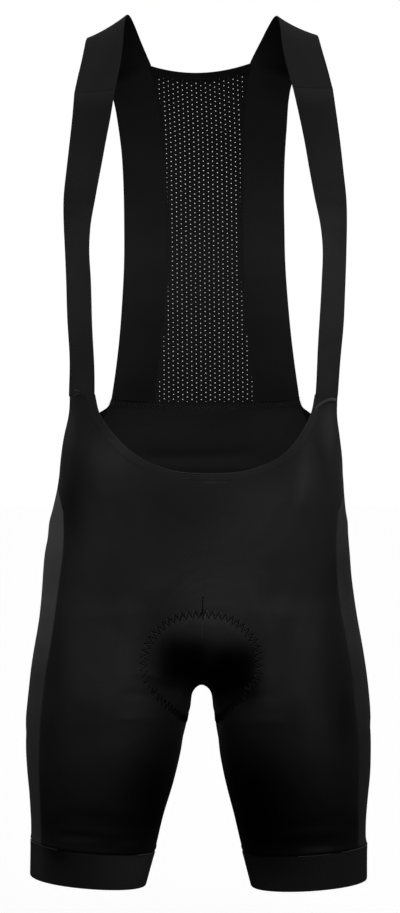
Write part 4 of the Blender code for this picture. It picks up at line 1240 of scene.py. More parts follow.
def finished(name: str, bm: bmesh.types.BMesh, finish: Material) -> Object:
    """Make a smooth-shaded object with one material from a mesh in the making."""
    mesh = bpy.data.meshes.new(name)
    bm.to_mesh(mesh)
    bm.free()
    mesh.shade_smooth()
    mesh.set_sharp_from_angle(angle=CREASE)
    log.info("%s: %d faces", name, len(mesh.polygons))
    return placed(mesh, finish)


def mirrored(points: Array, normals: Array) -> tuple[Array, Array]:
    """A whole piece from its left half, whose first column lies on the centre plane."""
    flip = np.array((-1.0, 1.0, 1.0))
    return (np.concatenate((points[:, :0:-1] * flip, points), axis=1),
            np.concatenate((normals[:, :0:-1] * flip, normals), axis=1))


# ------------ thread

@dataclass
class Thread:
    """Stitches of one thread, gathered into one piece.

    Real thread is about 0.15 mm in radius and its stitches are 2 mm long: too fine to show.  It is
    drawn thicker, and its stitches a little longer and wider.

    Attributes:
        radius: of the thread, in millimetres.
        bow: how far the middle of a running stitch stands above its lift.
    """

    name: str
    radius: float = 0.22
    bow: float = 0.1
    runs: list[Array] = field(default_factory=list)

    @staticmethod
    def _spaced(points: Array, normals: Array, step: float, start: float = 0.0
                ) -> tuple[Array, Array, Array]:
        """Points, normals and sideways directions at even steps along a path."""
        along = lengths_along(points)
        at = np.linspace(start, along[-1], max(2, int(along[-1] / step)) + 1)
        spaced = np.stack([np.interp(at, along, column) for column in points.T], -1)
        outward = unit(np.stack([np.interp(at, along, column) for column in normals.T], -1))
        return spaced, outward, unit(np.cross(outward, np.gradient(spaced, axis=0)))

    def zigzag(self, points: Array, normals: Array, pitch: float, width: float,
               lift: float, start: float = 0.0) -> None:
        """One thread from side to side of a path.

        Args:
            points: the path.
            normals: the cloth's normals along it.
            pitch: distance between swings to the same side.
            width: distance between the sides.
            lift: how far above the path it lies.
            start: where it begins.
        """
        spaced, outward, aside = self._spaced(points, normals, 0.5 * pitch, start)
        swing = np.where(np.arange(len(spaced)) % 2, 0.5, -0.5)[:, None] * width
        self.runs.append(spaced + aside * swing + outward * lift)

    def running(self, points: Array, normals: Array, stitch: float, gap: float,
                lift: float) -> None:
        """Separate stitches along a path, sunk at both ends.

        Args:
            points: the path.
            normals: the cloth's normals along it.
            stitch: length of a stitch.
            gap: distance between stitches.
            lift: how far above the path they lie.
        """
        spaced, outward, _ = self._spaced(points, normals, stitch + gap)
        share = stitch / (stitch + gap)
        rise = (-self.radius, lift + self.bow, lift + self.bow, -self.radius)
        for here, ahead, out in zip(spaced, spaced[1:], outward):
            marks = [here + (ahead - here) * part * share for part in (0.0, 0.25, 0.75, 1.0)]
            self.runs.append(np.array([mark + out * up for mark, up in zip(marks, rise)]))

    def build(self, finish: Material) -> Object:
        """Make the stitches as tubes and join them into one mesh."""
        curve = bpy.data.curves.new(self.name, "CURVE")
        curve.dimensions = "3D"
        curve.bevel_depth = self.radius * MM
        curve.bevel_resolution = 0
        curve.use_fill_caps = True
        for run in self.runs:
            spline = curve.splines.new("POLY")
            spline.points.add(len(run) - 1)
            weighted = np.pad(stand(run) * MM, ((0, 0), (0, 1)), constant_values=1.0)
            spline.points.foreach_set("co", weighted.ravel())
        source = bpy.data.objects.new(self.name + "_path", curve)
        mesh = bpy.data.meshes.new_from_object(source)
        bpy.data.objects.remove(source)
        mesh.name = self.name
        mesh.shade_smooth()
        mesh.materials.clear()
        obj = placed(mesh, finish)
        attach(obj, "root")
        log.info("%s: %d stitches or runs", self.name, len(self.runs))
        return obj


# ------------ finishes

def linear(colour: str) -> tuple[float, float, float, float]:
    """Linear colour of an sRGB hex string."""
    parts = [int(colour[i:i + 2], 16) / 255 for i in (1, 3, 5)]
    return (*(c / 12.92 if c <= 0.04045 else ((c + 0.055) / 1.055)**2.4 for c in parts), 1.0)


class Graph:
    """The node tree of a material or of the world."""

    def __init__(self, owner: Material | bpy.types.World,
                 shader: str = "Principled BSDF") -> None:
        """Start with the node that the others feed."""
        owner.use_nodes = True
        self.tree = owner.node_tree
        self.shader = self.tree.nodes[shader]

    def add(self, kind: str, inputs: dict, **settings: object) -> bpy.types.Node:
        """Add a node with its settings, and give each input a value or a link."""
        node = self.tree.nodes.new(kind)
        for key, value in settings.items():
            setattr(node, key, value)
        self.feed(node, inputs)
        return node

    def feed(self, node: bpy.types.Node, inputs: dict) -> None:
        """Set or link inputs of a node."""
        for key, value in inputs.items():
            if isinstance(value, bpy.types.NodeSocket):
                self.tree.links.new(value, node.inputs[key])
            else:
                node.inputs[key].default_value = value


WAVE_LENGTH = 0.31416       # in metres, of a wave texture whose scale is 1
WHITE, PALE = (1.0, 1.0, 1.0, 1.0), (0.96, 0.96, 0.96, 1.0)


@dataclass(frozen=True)
class Knit:
    """A knitted cloth: wales run down it, courses across.

    Real wales and courses lie 0.5 to 0.7 mm apart, too fine to show.  They are drawn two to four
    times as coarse, which gives the eye the cloth's direction.

    Attributes:
        face: colour of the yarn on the crests.
        dip: colour in the furrows, darker than the crests as painted shade.
        wale: distance between wales, in millimetres.
        course: distance between courses.
        relief: height of the crests, in millimetres.
        mottle: how far the tone drifts over hand-sized areas.
        fibres: noise to the metre, of fibres about 0.7 mm apart.
        drifts: noise to the metre, of areas about 70 mm wide.
    """

    name: str
    face: str
    dip: str
    wale: float = 1.6
    course: float = 2.2
    relief: float = 0.06
    roughness: float = 0.55
    roughness_range: float = 0.12
    specular: float = 0.12
    sheen: float = 0.02
    mottle: float = 0.12
    fibres: float = 1400.0
    drifts: float = 14.0

    def make(self) -> Material:
        """Build the material."""
        material = bpy.data.materials.new(self.name)
        graph = Graph(material)
        marks = graph.add("ShaderNodeAttribute", {}, attribute_name="cloth")
        place = marks.outputs["Vector"]
        wales, courses = (
            graph.add("ShaderNodeTexWave", {
                "Vector": place, "Scale": WAVE_LENGTH / (apart * MM), "Distortion": bent,
                "Detail": 2.0, "Detail Scale": 2.0}, bands_direction=axis)
            for apart, bent, axis in ((self.wale, 1.2, "X"), (self.course, 1.8, "Y")))
        fibre = graph.add("ShaderNodeTexNoise", {"Vector": place, "Scale": self.fibres, "Detail": 3.0})
        loops = graph.add("ShaderNodeMath", {0: wales.outputs["Fac"], 1: courses.outputs["Fac"]},
                          operation="MULTIPLY")
        height = graph.add("ShaderNodeMath", {0: fibre.outputs["Fac"], 1: 0.5,
                                              2: loops.outputs[0]}, operation="MULTIPLY_ADD")
        bump = graph.add("ShaderNodeBump", {"Distance": self.relief * MM, "Strength": 1.0,
                                            "Height": height.outputs[0]})
        # Painted shade: the furrows of the bump take the darker dip colour.
        yarn = graph.add("ShaderNodeMix", {0: height.outputs[0], 6: linear(self.dip),
                                           7: linear(self.face)}, data_type="RGBA")
        drift = graph.add("ShaderNodeTexNoise", {"Vector": place, "Scale": self.drifts, "Detail": 2.0})
        share = graph.add("ShaderNodeMapRange", {
            0: drift.outputs["Fac"], 1: 0.3, 2: 0.7, 3: 1.0 - self.mottle, 4: 1.0 + self.mottle})
        # The attribute's third value is the painted light and shade; it scales colour, specular level
        # and sheen.
        split = graph.add("ShaderNodeSeparateXYZ", {0: place})
        tone, shine, nap = (
            graph.add("ShaderNodeMath", {0: value, 1: split.outputs["Z"]}, operation="MULTIPLY")
            for value in (share.outputs[0], self.specular, self.sheen))
        colour = graph.add("ShaderNodeVectorMath", {0: yarn.outputs[2], "Scale": tone.outputs[0]},
                           operation="SCALE")
        rough = graph.add("ShaderNodeMath", {
            0: fibre.outputs["Fac"], 1: self.roughness_range,
            2: self.roughness - 0.5 * self.roughness_range}, operation="MULTIPLY_ADD")
        graph.feed(graph.shader, {
            "Base Color": colour.outputs[0], "Roughness": rough.outputs[0],
            "Specular IOR Level": shine.outputs[0], "Normal": bump.outputs[0],
            "Sheen Weight": nap.outputs[0], "Sheen Roughness": 0.5})
        return material


@dataclass(frozen=True)
class Yarn:
    """Spun polyester sewing thread, two plies laid round each other."""

    name: str
    colour: str
    roughness: float = 0.5
    specular: float = 0.3
    plies: float = 2500.0       # noise to the metre, of plies about 0.4 mm apart
    relief: float = 0.05

    def make(self) -> Material:
        """Build the material."""
        material = bpy.data.materials.new(self.name)
        graph = Graph(material)
        place = graph.add("ShaderNodeTexCoord", {}).outputs["Object"]
        plies = graph.add("ShaderNodeTexNoise", {"Vector": place, "Scale": self.plies, "Detail": 2.0})
        bump = graph.add("ShaderNodeBump", {"Distance": self.relief * MM,
                                            "Height": plies.outputs["Fac"]})
        graph.feed(graph.shader, {"Base Color": linear(self.colour), "Roughness": self.roughness,
                                  "Specular IOR Level": self.specular, "Normal": bump.outputs[0]})
        return material


@dataclass(frozen=True)
class Finishes:
    """Every cloth and thread of the garment."""

    # Black nylon and elastane warp knit with a smooth, faintly shiny face.
    panel: Knit = Knit("black_warp_knit", "#181818", "#101010")
    # Dull grey knit of brushed yarn at the sides.
    side: Knit = Knit("grey_side_knit", "#383838", "#242424", wale=2.0, course=2.4, relief=0.10,
                      roughness=0.8, specular=0.10, sheen=0.04)
    # Light, dense knit of the bib, seen from both its sides.
    bib: Knit = Knit("bib_knit", "#1c1c1c", "#121212", wale=1.8, roughness=0.65)
    # Open mesh: its yarn is the same, the holes are cut.
    mesh: Knit = Knit("mesh_knit", "#1a1a1a", "#101010", wale=2.4, course=2.5, roughness=0.7)
    # Woven elastic of the straps, ribbed along its length.
    strap: Knit = Knit("strap_elastic", "#333333", "#222222", wale=1.9, course=1.5, relief=0.10,
                       roughness=0.6, specular=0.3)
    # Folded binding, of the panel's cloth pulled tight.
    binding: Knit = Knit("neck_binding", "#1e1e1e", "#141414", wale=1.5, course=2.0, roughness=0.6)
    # Raised ribs of rubbery elastic round the leg ends.
    gripper: Knit = Knit("gripper_elastic", "#1a1a1a", "#0e0e0e", wale=2.2, course=1.4, relief=0.08,
                         roughness=0.7, specular=0.10)
    # Brushed face cloth of the seat pad.
    pad: Knit = Knit("pad_fabric", "#2a2a2a", "#1a1a1a", wale=1.4, course=1.4, relief=0.10,
                     roughness=0.85, specular=0.08, sheen=0.06)
    # Black and grey sewing thread; the grey draws stitches, and painted highlights along the front
    # binding.
    thread: Yarn = Yarn("black_thread", "#131313")
    bright: Yarn = Yarn("grey_thread", "#3c3c3c", roughness=0.4)
    # The pad's heavier threads: one matt black, one pale grey and glossy for tacks and painted
    # highlights.
    bold: Yarn = Yarn("pad_black_thread", "#050505", roughness=0.9, specular=0.05)
    pale: Yarn = Yarn("pad_grey_thread", "#4e4e4e", roughness=0.4)


# ------------ sub-assemblies

@dataclass
class Workshop:
    """What every sub-assembly is made from."""

    skin: Skin
    pattern: Pattern
    cloth: dict[str, Material]
    dark: Thread
    bright: Thread
    bold: Thread
    pale: Thread

    @property
    def figure(self) -> Figure:
        """The bare figure under the skin."""
        return self.skin.figure

    def add(self, sheets: list[Cloth], name: str, slot: str, cloth: str) -> Object:
        """Build a piece, and put it in the place of the frame's node of the same name."""
        piece = build_wall(name + "_cloth", sheets, self.cloth[cloth])
        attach(piece, "root")
        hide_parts(name)
        return piece

    def on_back(self, x: Array, z: Array) -> tuple[Array, Array]:
        """Points and normals on the back of the bare figure."""
        return self.figure.surface(self.figure.level_places(x, z, True))

    def on_front(self, x: Array, z: Array, hand: Hand = Hand.LEFT) -> tuple[Array, Array]:
        """Points and normals on the front of the worn cloth."""
        return self.skin.at(self.figure.level_places(x, z, False), hand)


@dataclass
class Panels:
    """Front, side and back panels with the seams between them."""

    shop: Workshop
    front_columns: int = 84
    side_columns: int = 44
    back_columns: int = 76
    armhole_rows: int = 40
    side_rows: int = 20
    step: float = 2.3
    gripper_row: float = 26.0
    slack: float = 1e-6         # rows by which a place may miss the armhole's foot
    stitch: tuple[float, float] = (2.6, 0.4)    # length and gap
    # From where to where the stitches of the centre seam in front show, black and grey.
    black_shown: tuple[float, float] = (-592.0, -612.0)
    grey_shown: tuple[float, float] = (-618.0, -637.0)

    def build(self) -> list[tuple[Object, Cloth]]:
        """Make the six panels and sew them."""
        pattern, foot = self.shop.pattern, self.gripper_row
        front = pattern.front_places(self.front_columns, self.armhole_rows, self.step, foot)
        side = pattern.side_places(self.side_columns, self.side_rows, self.step, foot)
        back = pattern.back_places(self.back_columns, self.step, foot)
        armhole = self.shop.figure.row_of(ARMHOLE_FOOT.z)
        on_arm = (front[:, -1:, 0] <= armhole + self.slack).astype(float)
        seam = front[front[:, -1, 0] >= armhole - self.slack, -1]
        made = []
        for hand in Hand:
            for name, kind, places in (("front", "panel", front), ("side", "side", side),
                                       ("back", "panel", back)):
                cloth = Cloth(f"{name}_{hand.name.lower()}", *self.shop.skin.at(places, hand))
                self._dress(name, cloth, on_arm)
                cloth.sew(Side.BOTTOM, **LEG_SEAM)
                made.append((self.shop.add([cloth], cloth.name, kind + "_knit", kind), cloth))
            self._flatlock(hand, seam, side[:, -1], back[:, -1])
            if hand is Hand.LEFT:
                self._stitch_centre(front[:, 0])
        return made

    @staticmethod
    def _dress(name: str, cloth: Cloth, on_arm: Array) -> None:
        """Sink the sewn edges of a panel and turn the armhole over, where on_arm is 1."""
        if name == "back":
            cloth.sew(Side.TOP, Side.FIRST, Side.LAST)
            return
        # Painted light and shade on the outer face.
        cloth.tone = SHADES[name].tone(cloth.points)
        if name == "side":
            # Painted shade: the side panel's inner face at 0.18 of its colour.
            cloth.inside = 0.18
            cloth.sew(Side.FIRST, trough=0.2, swell=0.1).sew(Side.LAST).roll(Side.TOP)
            return
        # Painted shade: the front panel's inner face at half its colour.
        cloth.inside = 0.5
        cloth.sew(Side.TOP, trough=0.05, swell=0.0).sew(Side.FIRST, trough=0.06, swell=0.0)
        cloth.sew(Side.LAST, trough=0.2, swell=0.1, where=1 - on_arm)
        cloth.roll(Side.LAST, where=on_arm)

    def _flatlock(self, hand: Hand, front: Array, side: Array, back: Array) -> None:
        """Flatlock the long seams of one half, given as places along them."""
        crotch = self.shop.figure.crotch
        paths = [front, side, back[back[:, 0] >= crotch]]
        if hand is Hand.LEFT:
            paths.append(back[back[:, 0] <= crotch])
        for path in paths:
            self.shop.dark.zigzag(*self.shop.skin.at(path, hand), *FLATLOCK, lift=-0.12)

    def _stitch_centre(self, centre: Array) -> None:
        """Sew the centre front, where two stretches of stitches show."""
        centre = centre[centre[:, 0] <= self.shop.figure.crotch]
        path, normals = self.shop.skin.at(centre, Hand.LEFT)
        self.shop.dark.zigzag(path, normals, *FLATLOCK, lift=-0.2)
        for thread, (top, foot) in ((self.shop.bold, self.black_shown),
                                    (self.shop.bright, self.grey_shown)):
            part = (path[:, 2] < top) & (path[:, 2] > foot)
            thread.running(path[part], normals[part], *self.stitch, lift=-0.1)


@dataclass
class BackWaist:
    """The one-piece back waist, with the stitches under the mesh."""

    shop: Workshop
    columns: int = 70
    rows: int = 46
    wall: float = 0.9
    flat_top: float = 10.0
    shown_at: float = 4.0
    wide: tuple[float, float] = (1.5, 1.3)      # pitch and width of the stitches inside

    def build(self) -> tuple[Object, Cloth]:
        """Make it, fold it and sew it."""
        shop = self.shop
        half = shop.on_back(*shop.pattern.waist_grid(self.columns, self.rows))
        points, normals = mirrored(*half)
        fade = ease((points[:1, :, 2:] - points[..., 2:]) / self.flat_top)
        points = points + shop.skin.height(points, normals)[..., None] * normals * fade
        # Painted light and shade on the inner face, by its table.
        cloth = Cloth("back_waist", points, normals, inside=SHADES["waist"].tone(points))
        cloth.sew(Side.TOP, trough=0.2).sew(Side.BOTTOM, Side.FIRST, Side.LAST)
        piece = shop.add([cloth], "back_waist", "panel_knit", "bib")
        for row in (0, -1):
            shop.dark.zigzag(cloth.points[row], cloth.normals[row], *FLATLOCK, lift=0.4)
        row = int(np.argmax(cloth.down[:, 0] > self.shown_at))
        inside = cloth.points[row] - cloth.normals[row] * self.wall
        pitch, width = (size * more for size, more in zip(FLATLOCK, self.wide))
        shop.bright.zigzag(inside, -cloth.normals[row], pitch, width, lift=0.2)
        return piece, cloth


@dataclass
class Grippers:
    """The ribbed elastic bands round the leg ends, left plain."""

    shop: Workshop
    ribs: int = 228
    steps_per_rib: int = 6
    rib_height: float = 0.28
    rows: int = 9
    height: float = 36.0
    samples: int = 401
    proud: float = 0.2
    wall: float = 1.4
    rib_fade: float = 2.0
    # Painted shade in the furrows between ribs, and along the sewn top edge, and how wide.
    rib_shade: float = 0.35
    seam_shade: float = 0.55
    seam_shade_width: float = 1.8
    stitch_every: int = 8
    stitch: tuple[float, float] = (2.6, 0.6)    # length and gap
    loose_stitch: tuple[float, float] = (2.4, 0.5)
    # Where grey stitches have come loose, from x to x in millimetres.
    loose: dict = field(default_factory=lambda: {
        Hand.LEFT: ((97.0, 134.0), (143.0, 172.0)), Hand.RIGHT: ((-172.0, -142.0), (-64.0, -48.0))})

    def build(self) -> list[tuple[Object, Cloth]]:
        """Make both bands and sew them on."""
        figure = self.shop.figure
        dense = np.linspace(0.0, 1.0, self.samples)
        run = lengths_along(figure.points(np.full(self.samples, figure.hem_row - 0.5), dense))
        share = np.linspace(0.0, 1.0, self.ribs * self.steps_per_rib + 1)
        around = np.interp(share * run[-1], run, dense)
        rows = figure.hem_row - 1 + lines(self.rows, self.height)
        places = np.stack(np.meshgrid(rows, around, indexing="ij"), -1)
        crest = 0.5 - 0.5 * np.cos(2 * math.pi * share * self.ribs)
        points, normals = figure.surface(places)
        normals[:, -1] = normals[:, 0] = unit(normals[:, 0] + normals[:, -1])
        points = points + self.proud * normals
        made = []
        for hand in Hand:
            cloth = half_cloth("gripper", hand, points, normals, wall=self.wall)
            top, bottom = cloth.gap(Side.TOP), cloth.gap(Side.BOTTOM)
            fade = ease(top / self.rib_fade) * ease(bottom / self.rib_fade)
            cloth.lift(self.rib_height * crest * fade)
            # Painted light and shade: its soft areas, darker furrows and a darker strip along the sewn
            # top.
            cloth.tone = (SHADES["gripper"].tone(cloth.points)
                          * (1.0 - self.rib_shade * (1 - crest) * fade)
                          * (1.0 - self.seam_shade * np.exp(-(top / self.seam_shade_width)**2)))
            cloth.sew(Side.TOP, trough=0.8, swell=0.2).roll(Side.BOTTOM)
            piece = self.shop.add([cloth], cloth.name, "gripper_elastic", "gripper")
            made.append((piece, cloth))
            path = slice(None, None, self.stitch_every)
            self._stitch(hand, cloth.points[0, path], cloth.normals[0, path])
        return made

    def _stitch(self, hand: Hand, path: Array, normals: Array) -> None:
        """Sew a band on: sunk black stitches, with a few loose grey ones in front."""
        self.shop.bold.running(path, normals, *self.stitch, lift=-0.3)
        for start, end in self.loose[hand]:
            part = (path[:, 0] > start) & (path[:, 0] < end) & (path[:, 1] < 0.0)
            self.shop.bright.running(path[part], normals[part], *self.loose_stitch, lift=1.2)


@dataclass
class NeckBands:
    """The bindings of the front and back neckline, with their twin stitching."""

    shop: Workshop
    columns: int = 110
    back_columns: int = 41
    rows: int = 6
    wall: float = 1.4
    proud: float = 0.1
    crown: float = 0.1
    lap: float = 0.5
    back_lap: float = 1.04      # the back band's ends lap over the bib's sides
    stitch: tuple[float, float] = (2.3, 0.9)    # length and gap
    # Lines of grey thread in front: inset from the edge, from x to x where they show, and lift.
    # Deeper two: twin stitching drawn grey as its painted highlight; at 0.8 mm: a painted highlight on
    # the edge.
    lines_shown: tuple = ((6.4, -26.0, -18.0, 0.35), (9.6, -7.0, 17.0, 0.1), (0.8, -54.0, 54.0, 0.35))
    neck_dip: float = 7.5
    mesh_dip: float = 6.0

    def build(self) -> dict[str, Object]:
        """Make both bindings and their stitches."""
        return {cloth.name: self.shop.add([cloth], cloth.name, "neck_binding", "binding")
                for cloth in (self._front(), self._back())}

    def _front(self) -> Cloth:
        """The front band, along the scooped edge of the panels."""
        shop, width = self.shop, self.shop.pattern.band_width
        insets = (width + self.lap) * lines(self.rows, width)
        share = np.linspace(0.0, 1.0, self.columns + 1)
        x, z = np.moveaxis([shop.pattern.neckline(share, inset) for inset in insets], -1, 0)
        band = Cloth("front_neck_binding", *mirrored(*shop.on_front(x, z)), wall=self.wall)
        # Painted light and shade, as on the front panels.
        band.tone = SHADES["front"].tone(band.points)
        self._shape(band, (Side.BOTTOM, Side.FIRST, Side.LAST), (Side.TOP,))
        for inset, start, end, lift in self.lines_shown:
            x, z = shop.pattern.neckline(share[:-1], inset).T
            path, normals = mirrored(*(part[None] for part in shop.on_front(x, z)))
            near = (path[0, :, 0] > start) & (path[0, :, 0] < end)
            shop.bright.running(path[0, near], normals[0, near], *self.stitch, lift=lift)
        return band

    def _back(self) -> Cloth:
        """The back band, over the top of the mesh."""
        strip = bib_side_strip(self.shop.figure)
        foot, top = strip.along[BAND_ROW:BAND_ROW + 2]
        up = lines(self.rows, top - foot)
        edges = strip.points(foot + (top - foot) * up, np.zeros(len(up)))
        across = np.linspace(0.0, self.back_lap, self.back_columns + 1)
        dips = self.mesh_dip + (self.neck_dip - self.mesh_dip) * up
        z = edges[:, None, 2] - dips[:, None] * (1 - np.minimum(across, 1.0)**2)
        half = self.shop.on_back(edges[:, None, 0] * across, z)
        # Painted shade on the inner face.
        band = Cloth("back_neck_band", *mirrored(*half), wall=self.wall, inside=0.6)
        self._shape(band, (Side.TOP, Side.FIRST, Side.LAST), (Side.BOTTOM,))
        return band

    def _shape(self, cloth: Cloth, sewn: tuple[Side, ...], free: tuple[Side, ...]) -> None:
        """Crown a band, sew its inner edges and round its free one."""
        share = cloth.gap(Side.TOP) / (cloth.gap(Side.TOP) + cloth.gap(Side.BOTTOM))
        cloth.lift(self.proud + self.crown * 4 * share * (1 - share))
        cloth.sew(*sewn, trough=0.08, swell=0.0).roll(*free)


@dataclass
class Bib:
    """The sides of the bib, the front straps and the tacks that hold them."""

    shop: Workshop
    side_columns: int = 26
    side_rows: int = 230
    side_width: float = 46.0
    side_wall: float = 0.9
    strap_columns: int = 18
    strap_rows: int = 150
    strap_width: float = 26.0
    strap_wall: float = 1.3
    lap: float = 2.2
    lap_proud: float = 0.15
    # Slow waves along the strips: wavelength over 2 pi, height and multiple of the phase.
    waves: tuple = ((23.0, 1.0, 1.0), (9.7, 0.6, 2.0))
    trim: tuple[float, float] = (2.2, 3.2)      # pitch and width of the mesh seam's stitches
    strap_trim: tuple[float, float] = (2.0, 3.2)
    # Pale thread: the tacks, and the painted highlight where each strap meets its panel.
    # Each tack: its line as (x, z), then pitch, width and lift of its stitches.
    tacks: dict = field(default_factory=lambda: {
        Hand.LEFT: (((110.8, -406.0), (117.3, -400.5), (124.2, -396.9), (129.9, -396.2),
                     (134.4, -397.0)), 1.1, 3.9, 0.7),
        Hand.RIGHT: (((127.4, -386.2), (127.2, -391.4)), 2.3, 8.8, 1.75)})

    def build(self) -> list[tuple[Object, Cloth]]:
        """Make the sides and the straps."""
        figure = self.shop.figure
        side, strap = bib_side_strip(figure), strap_strip(figure, self.shop.pattern)
        made = []
        for hand in Hand:
            made += [self._side(hand, side), self._strap(hand, strap)]
            x, z = np.array(self.tacks[hand][0]).T
            self.shop.pale.zigzag(*self.shop.on_front(x, z, hand), *self.tacks[hand][1:])
        return made

    def _side(self, hand: Hand, strip: Strip) -> tuple[Object, Cloth]:
        """One side of the bib, whose foot laps over the back waist."""
        reach = strip.along[-1] + self.lap
        points, normals = strip.grid(reach * lines(self.side_rows, reach) - self.lap,
                                     lines(self.side_columns, self.side_width), self.side_wall)
        points = points + self.lap_proud * normals * ease(
            2.0 - np.arange(len(points))[:, None, None] * reach / self.side_rows / self.lap)
        # Painted shade on the outer face, and painted light and shade on the inner one.
        cloth = half_cloth("bib_side", hand, points, normals, wall=self.side_wall, tone=0.9)
        cloth.inside = SHADES["bib"].tone(cloth.points)
        self._ripple(cloth, 0.35, hand.value)
        over = cloth.down > strip.along[BAND_ROW] + self.lap
        cloth.roll(Side.LAST).roll(Side.FIRST, where=over)
        cloth.sew(Side.FIRST, where=~over).sew(Side.BOTTOM, trough=0.15, swell=0.0)
        edge, outward = cloth.points[~over[:, 0], 0], cloth.normals[~over[:, 0], 0]
        piece = self.shop.add([cloth], cloth.name, "bib_knit", "bib")
        self.shop.dark.zigzag(edge, outward, *self.trim, lift=0.4)
        self.shop.dark.zigzag(edge - self.side_wall * outward, -outward, *self.trim, lift=0.1)
        return piece, cloth

    def _strap(self, hand: Hand, strip: Strip) -> tuple[Object, Cloth]:
        """One front strap, whose foot laps over the front panel."""
        reach = strip.along[-1] + self.lap
        points, normals = strip.grid(reach * lines(self.strap_rows, reach),
                                     lines(self.strap_columns, self.strap_width), self.strap_wall)
        # Painted shade on the inner face, and painted light and shade on the outer one.
        cloth = half_cloth("strap", hand, points, normals, wall=self.strap_wall, inside=0.6)
        cloth.tone = SHADES["strap"].tone(cloth.points)
        self._ripple(cloth, 0.25, hand.value)
        cloth.roll(Side.FIRST, Side.LAST).sew(Side.TOP, trough=0.1, swell=0.0)
        cloth.sew(Side.BOTTOM, trough=1.0, swell=0.0)
        piece = self.shop.add([cloth], cloth.name, "strap_elastic", "strap")
        self.shop.dark.zigzag(cloth.points[0], cloth.normals[0], *self.strap_trim, lift=-0.15)
        return piece, cloth

    def _ripple(self, cloth: Cloth, size: float, phase: float) -> None:
        """Slow waves along a strip, a little different on each side."""
        wave = sum(height * np.sin(cloth.down / length + times * phase)
                   for length, height, times in self.waves)
        share = cloth.across / cloth.across[:, -1:]
        cloth.lift(size * wave * (0.3 + 0.7 * np.sin(math.pi * share)) * (share - 0.35))


@dataclass
class Mesh:
    """The open mesh down the middle of the bib's back."""

    shop: Workshop
    half_width: float = 60.0
    column_pitch: float = 4.9
    row_pitch: float = 5.1
    hole: float = 0.7           # from the middle of a hole to its corners
    wall: float = 0.6
    sunk: float = 0.2
    margin: float = 7.0
    lap: float = 5.0
    flat_lap: float = 4.0
    dips: tuple[float, float] = (1.1, 4.9)      # sag of its rows at the foot, and more at the top
    stretch: tuple[float, float] = (1.05, 1.03)
    edge_samples: int = 120

    def build(self) -> tuple[Object, tuple[tuple[float, float], float]]:
        """Make it, a hole at every other crossing of a fine grid.

        Returns:
            The piece, and the flat size and area that it was cut to, in metres.
        """
        strip = bib_side_strip(self.shop.figure)
        places = np.linspace(0.0, strip.along[BAND_ROW], self.edge_samples)
        edge = strip.points(places, np.zeros(self.edge_samples))
        height = edge[-1, 2] - edge[0, 2]
        columns = int(self.half_width / self.column_pitch)
        count = math.ceil((height + 2 * self.lap) / (0.5 * self.row_pitch))
        x = np.arange(-columns, columns + 1) * self.column_pitch
        rise = np.arange(count + 1) / count
        z = (edge[0, 2] - self.lap) + (height + 2 * self.lap) * rise
        reach = np.interp(z, edge[:, 2], edge[:, 0])[:, None]
        beyond = np.abs(x) > reach + self.margin
        bm = bmesh.new()
        layers = Layers.new(bm)
        made = bmesh.ops.create_grid(bm, x_segments=len(x) - 1, y_segments=count, size=1.0)["verts"]
        points, normals = self._surface(x, z, rise, reach)
        flat = np.stack(np.broadcast_arrays(x[None] * MM, z[:, None] * MM, 1.0), -1)
        # The inner face takes painted light and shade; the outer keeps its full colour.
        layers.write(made, points, normals * self.wall, flat, SHADES["mesh"].tone(points))
        outside = {vert for vert, far in zip(made, beyond.ravel()) if far}
        crossings = np.add.outer(np.arange(count + 1), np.arange(len(x))) % 2 == 0
        pierced = [vert for vert, hole in zip(made, crossings.ravel())
                   if hole and vert not in outside and not vert.is_boundary]
        cut = bmesh.ops.bevel(bm, geom=pierced, offset=self.hole * MM, offset_type="OFFSET",
                              segments=2, profile=0.5, affect="VERTICES", material=-1)
        bmesh.ops.delete(bm, geom=cut["faces"], context="FACES")
        bmesh.ops.delete(bm, geom=list(outside), context="VERTS")
        layers.thicken(bm)
        piece = finished("bib_mesh_cloth", bm, self.shop.cloth["mesh"])
        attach(piece, "root")
        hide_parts("bib_mesh")
        return piece, self._flat(edge)

    def _surface(self, x: Array, z: Array, rise: Array, reach: Array) -> tuple[Array, Array]:
        """Points and normals of the mesh, sunk a little under the back of the figure.

        Args:
            x: distance of each column from the centre plane.
            z: height of each row at its ends.
            rise: share of the way up of each row.
            reach: half the width that shows of each row.
        """
        share = np.clip(np.abs(x) / reach, 0.0, 1.0)
        dip = (self.dips[0] + self.dips[1] * rise[:, None]**4) * (1 - share**2)
        points, normals = self.shop.on_back(np.abs(np.broadcast_to(x, share.shape)),
                                            z[:, None] - dip)
        side = np.where(x < 0, Hand.RIGHT.value, Hand.LEFT.value)[None, :, None]
        flip = side * np.array((1, 0, 0)) + np.array((0, 1, 1))
        return (points - self.sunk * normals) * flip, normals * flip

    def _flat(self, edge: Array) -> tuple[tuple[float, float], float]:
        """Width and length in metres that the mesh was cut to, and its flat area."""
        width = 2 * (edge[0, 0] + self.margin) * MM
        length = float(edge[-1, 2] - edge[0, 2] + 2 * self.flat_lap) * MM
        shown = 2 * float(np.trapz(edge[:, 0] + self.margin, edge[:, 2])) * MM**2
        across, down = self.stretch
        return (width / across, length / down), shown / (across * down)


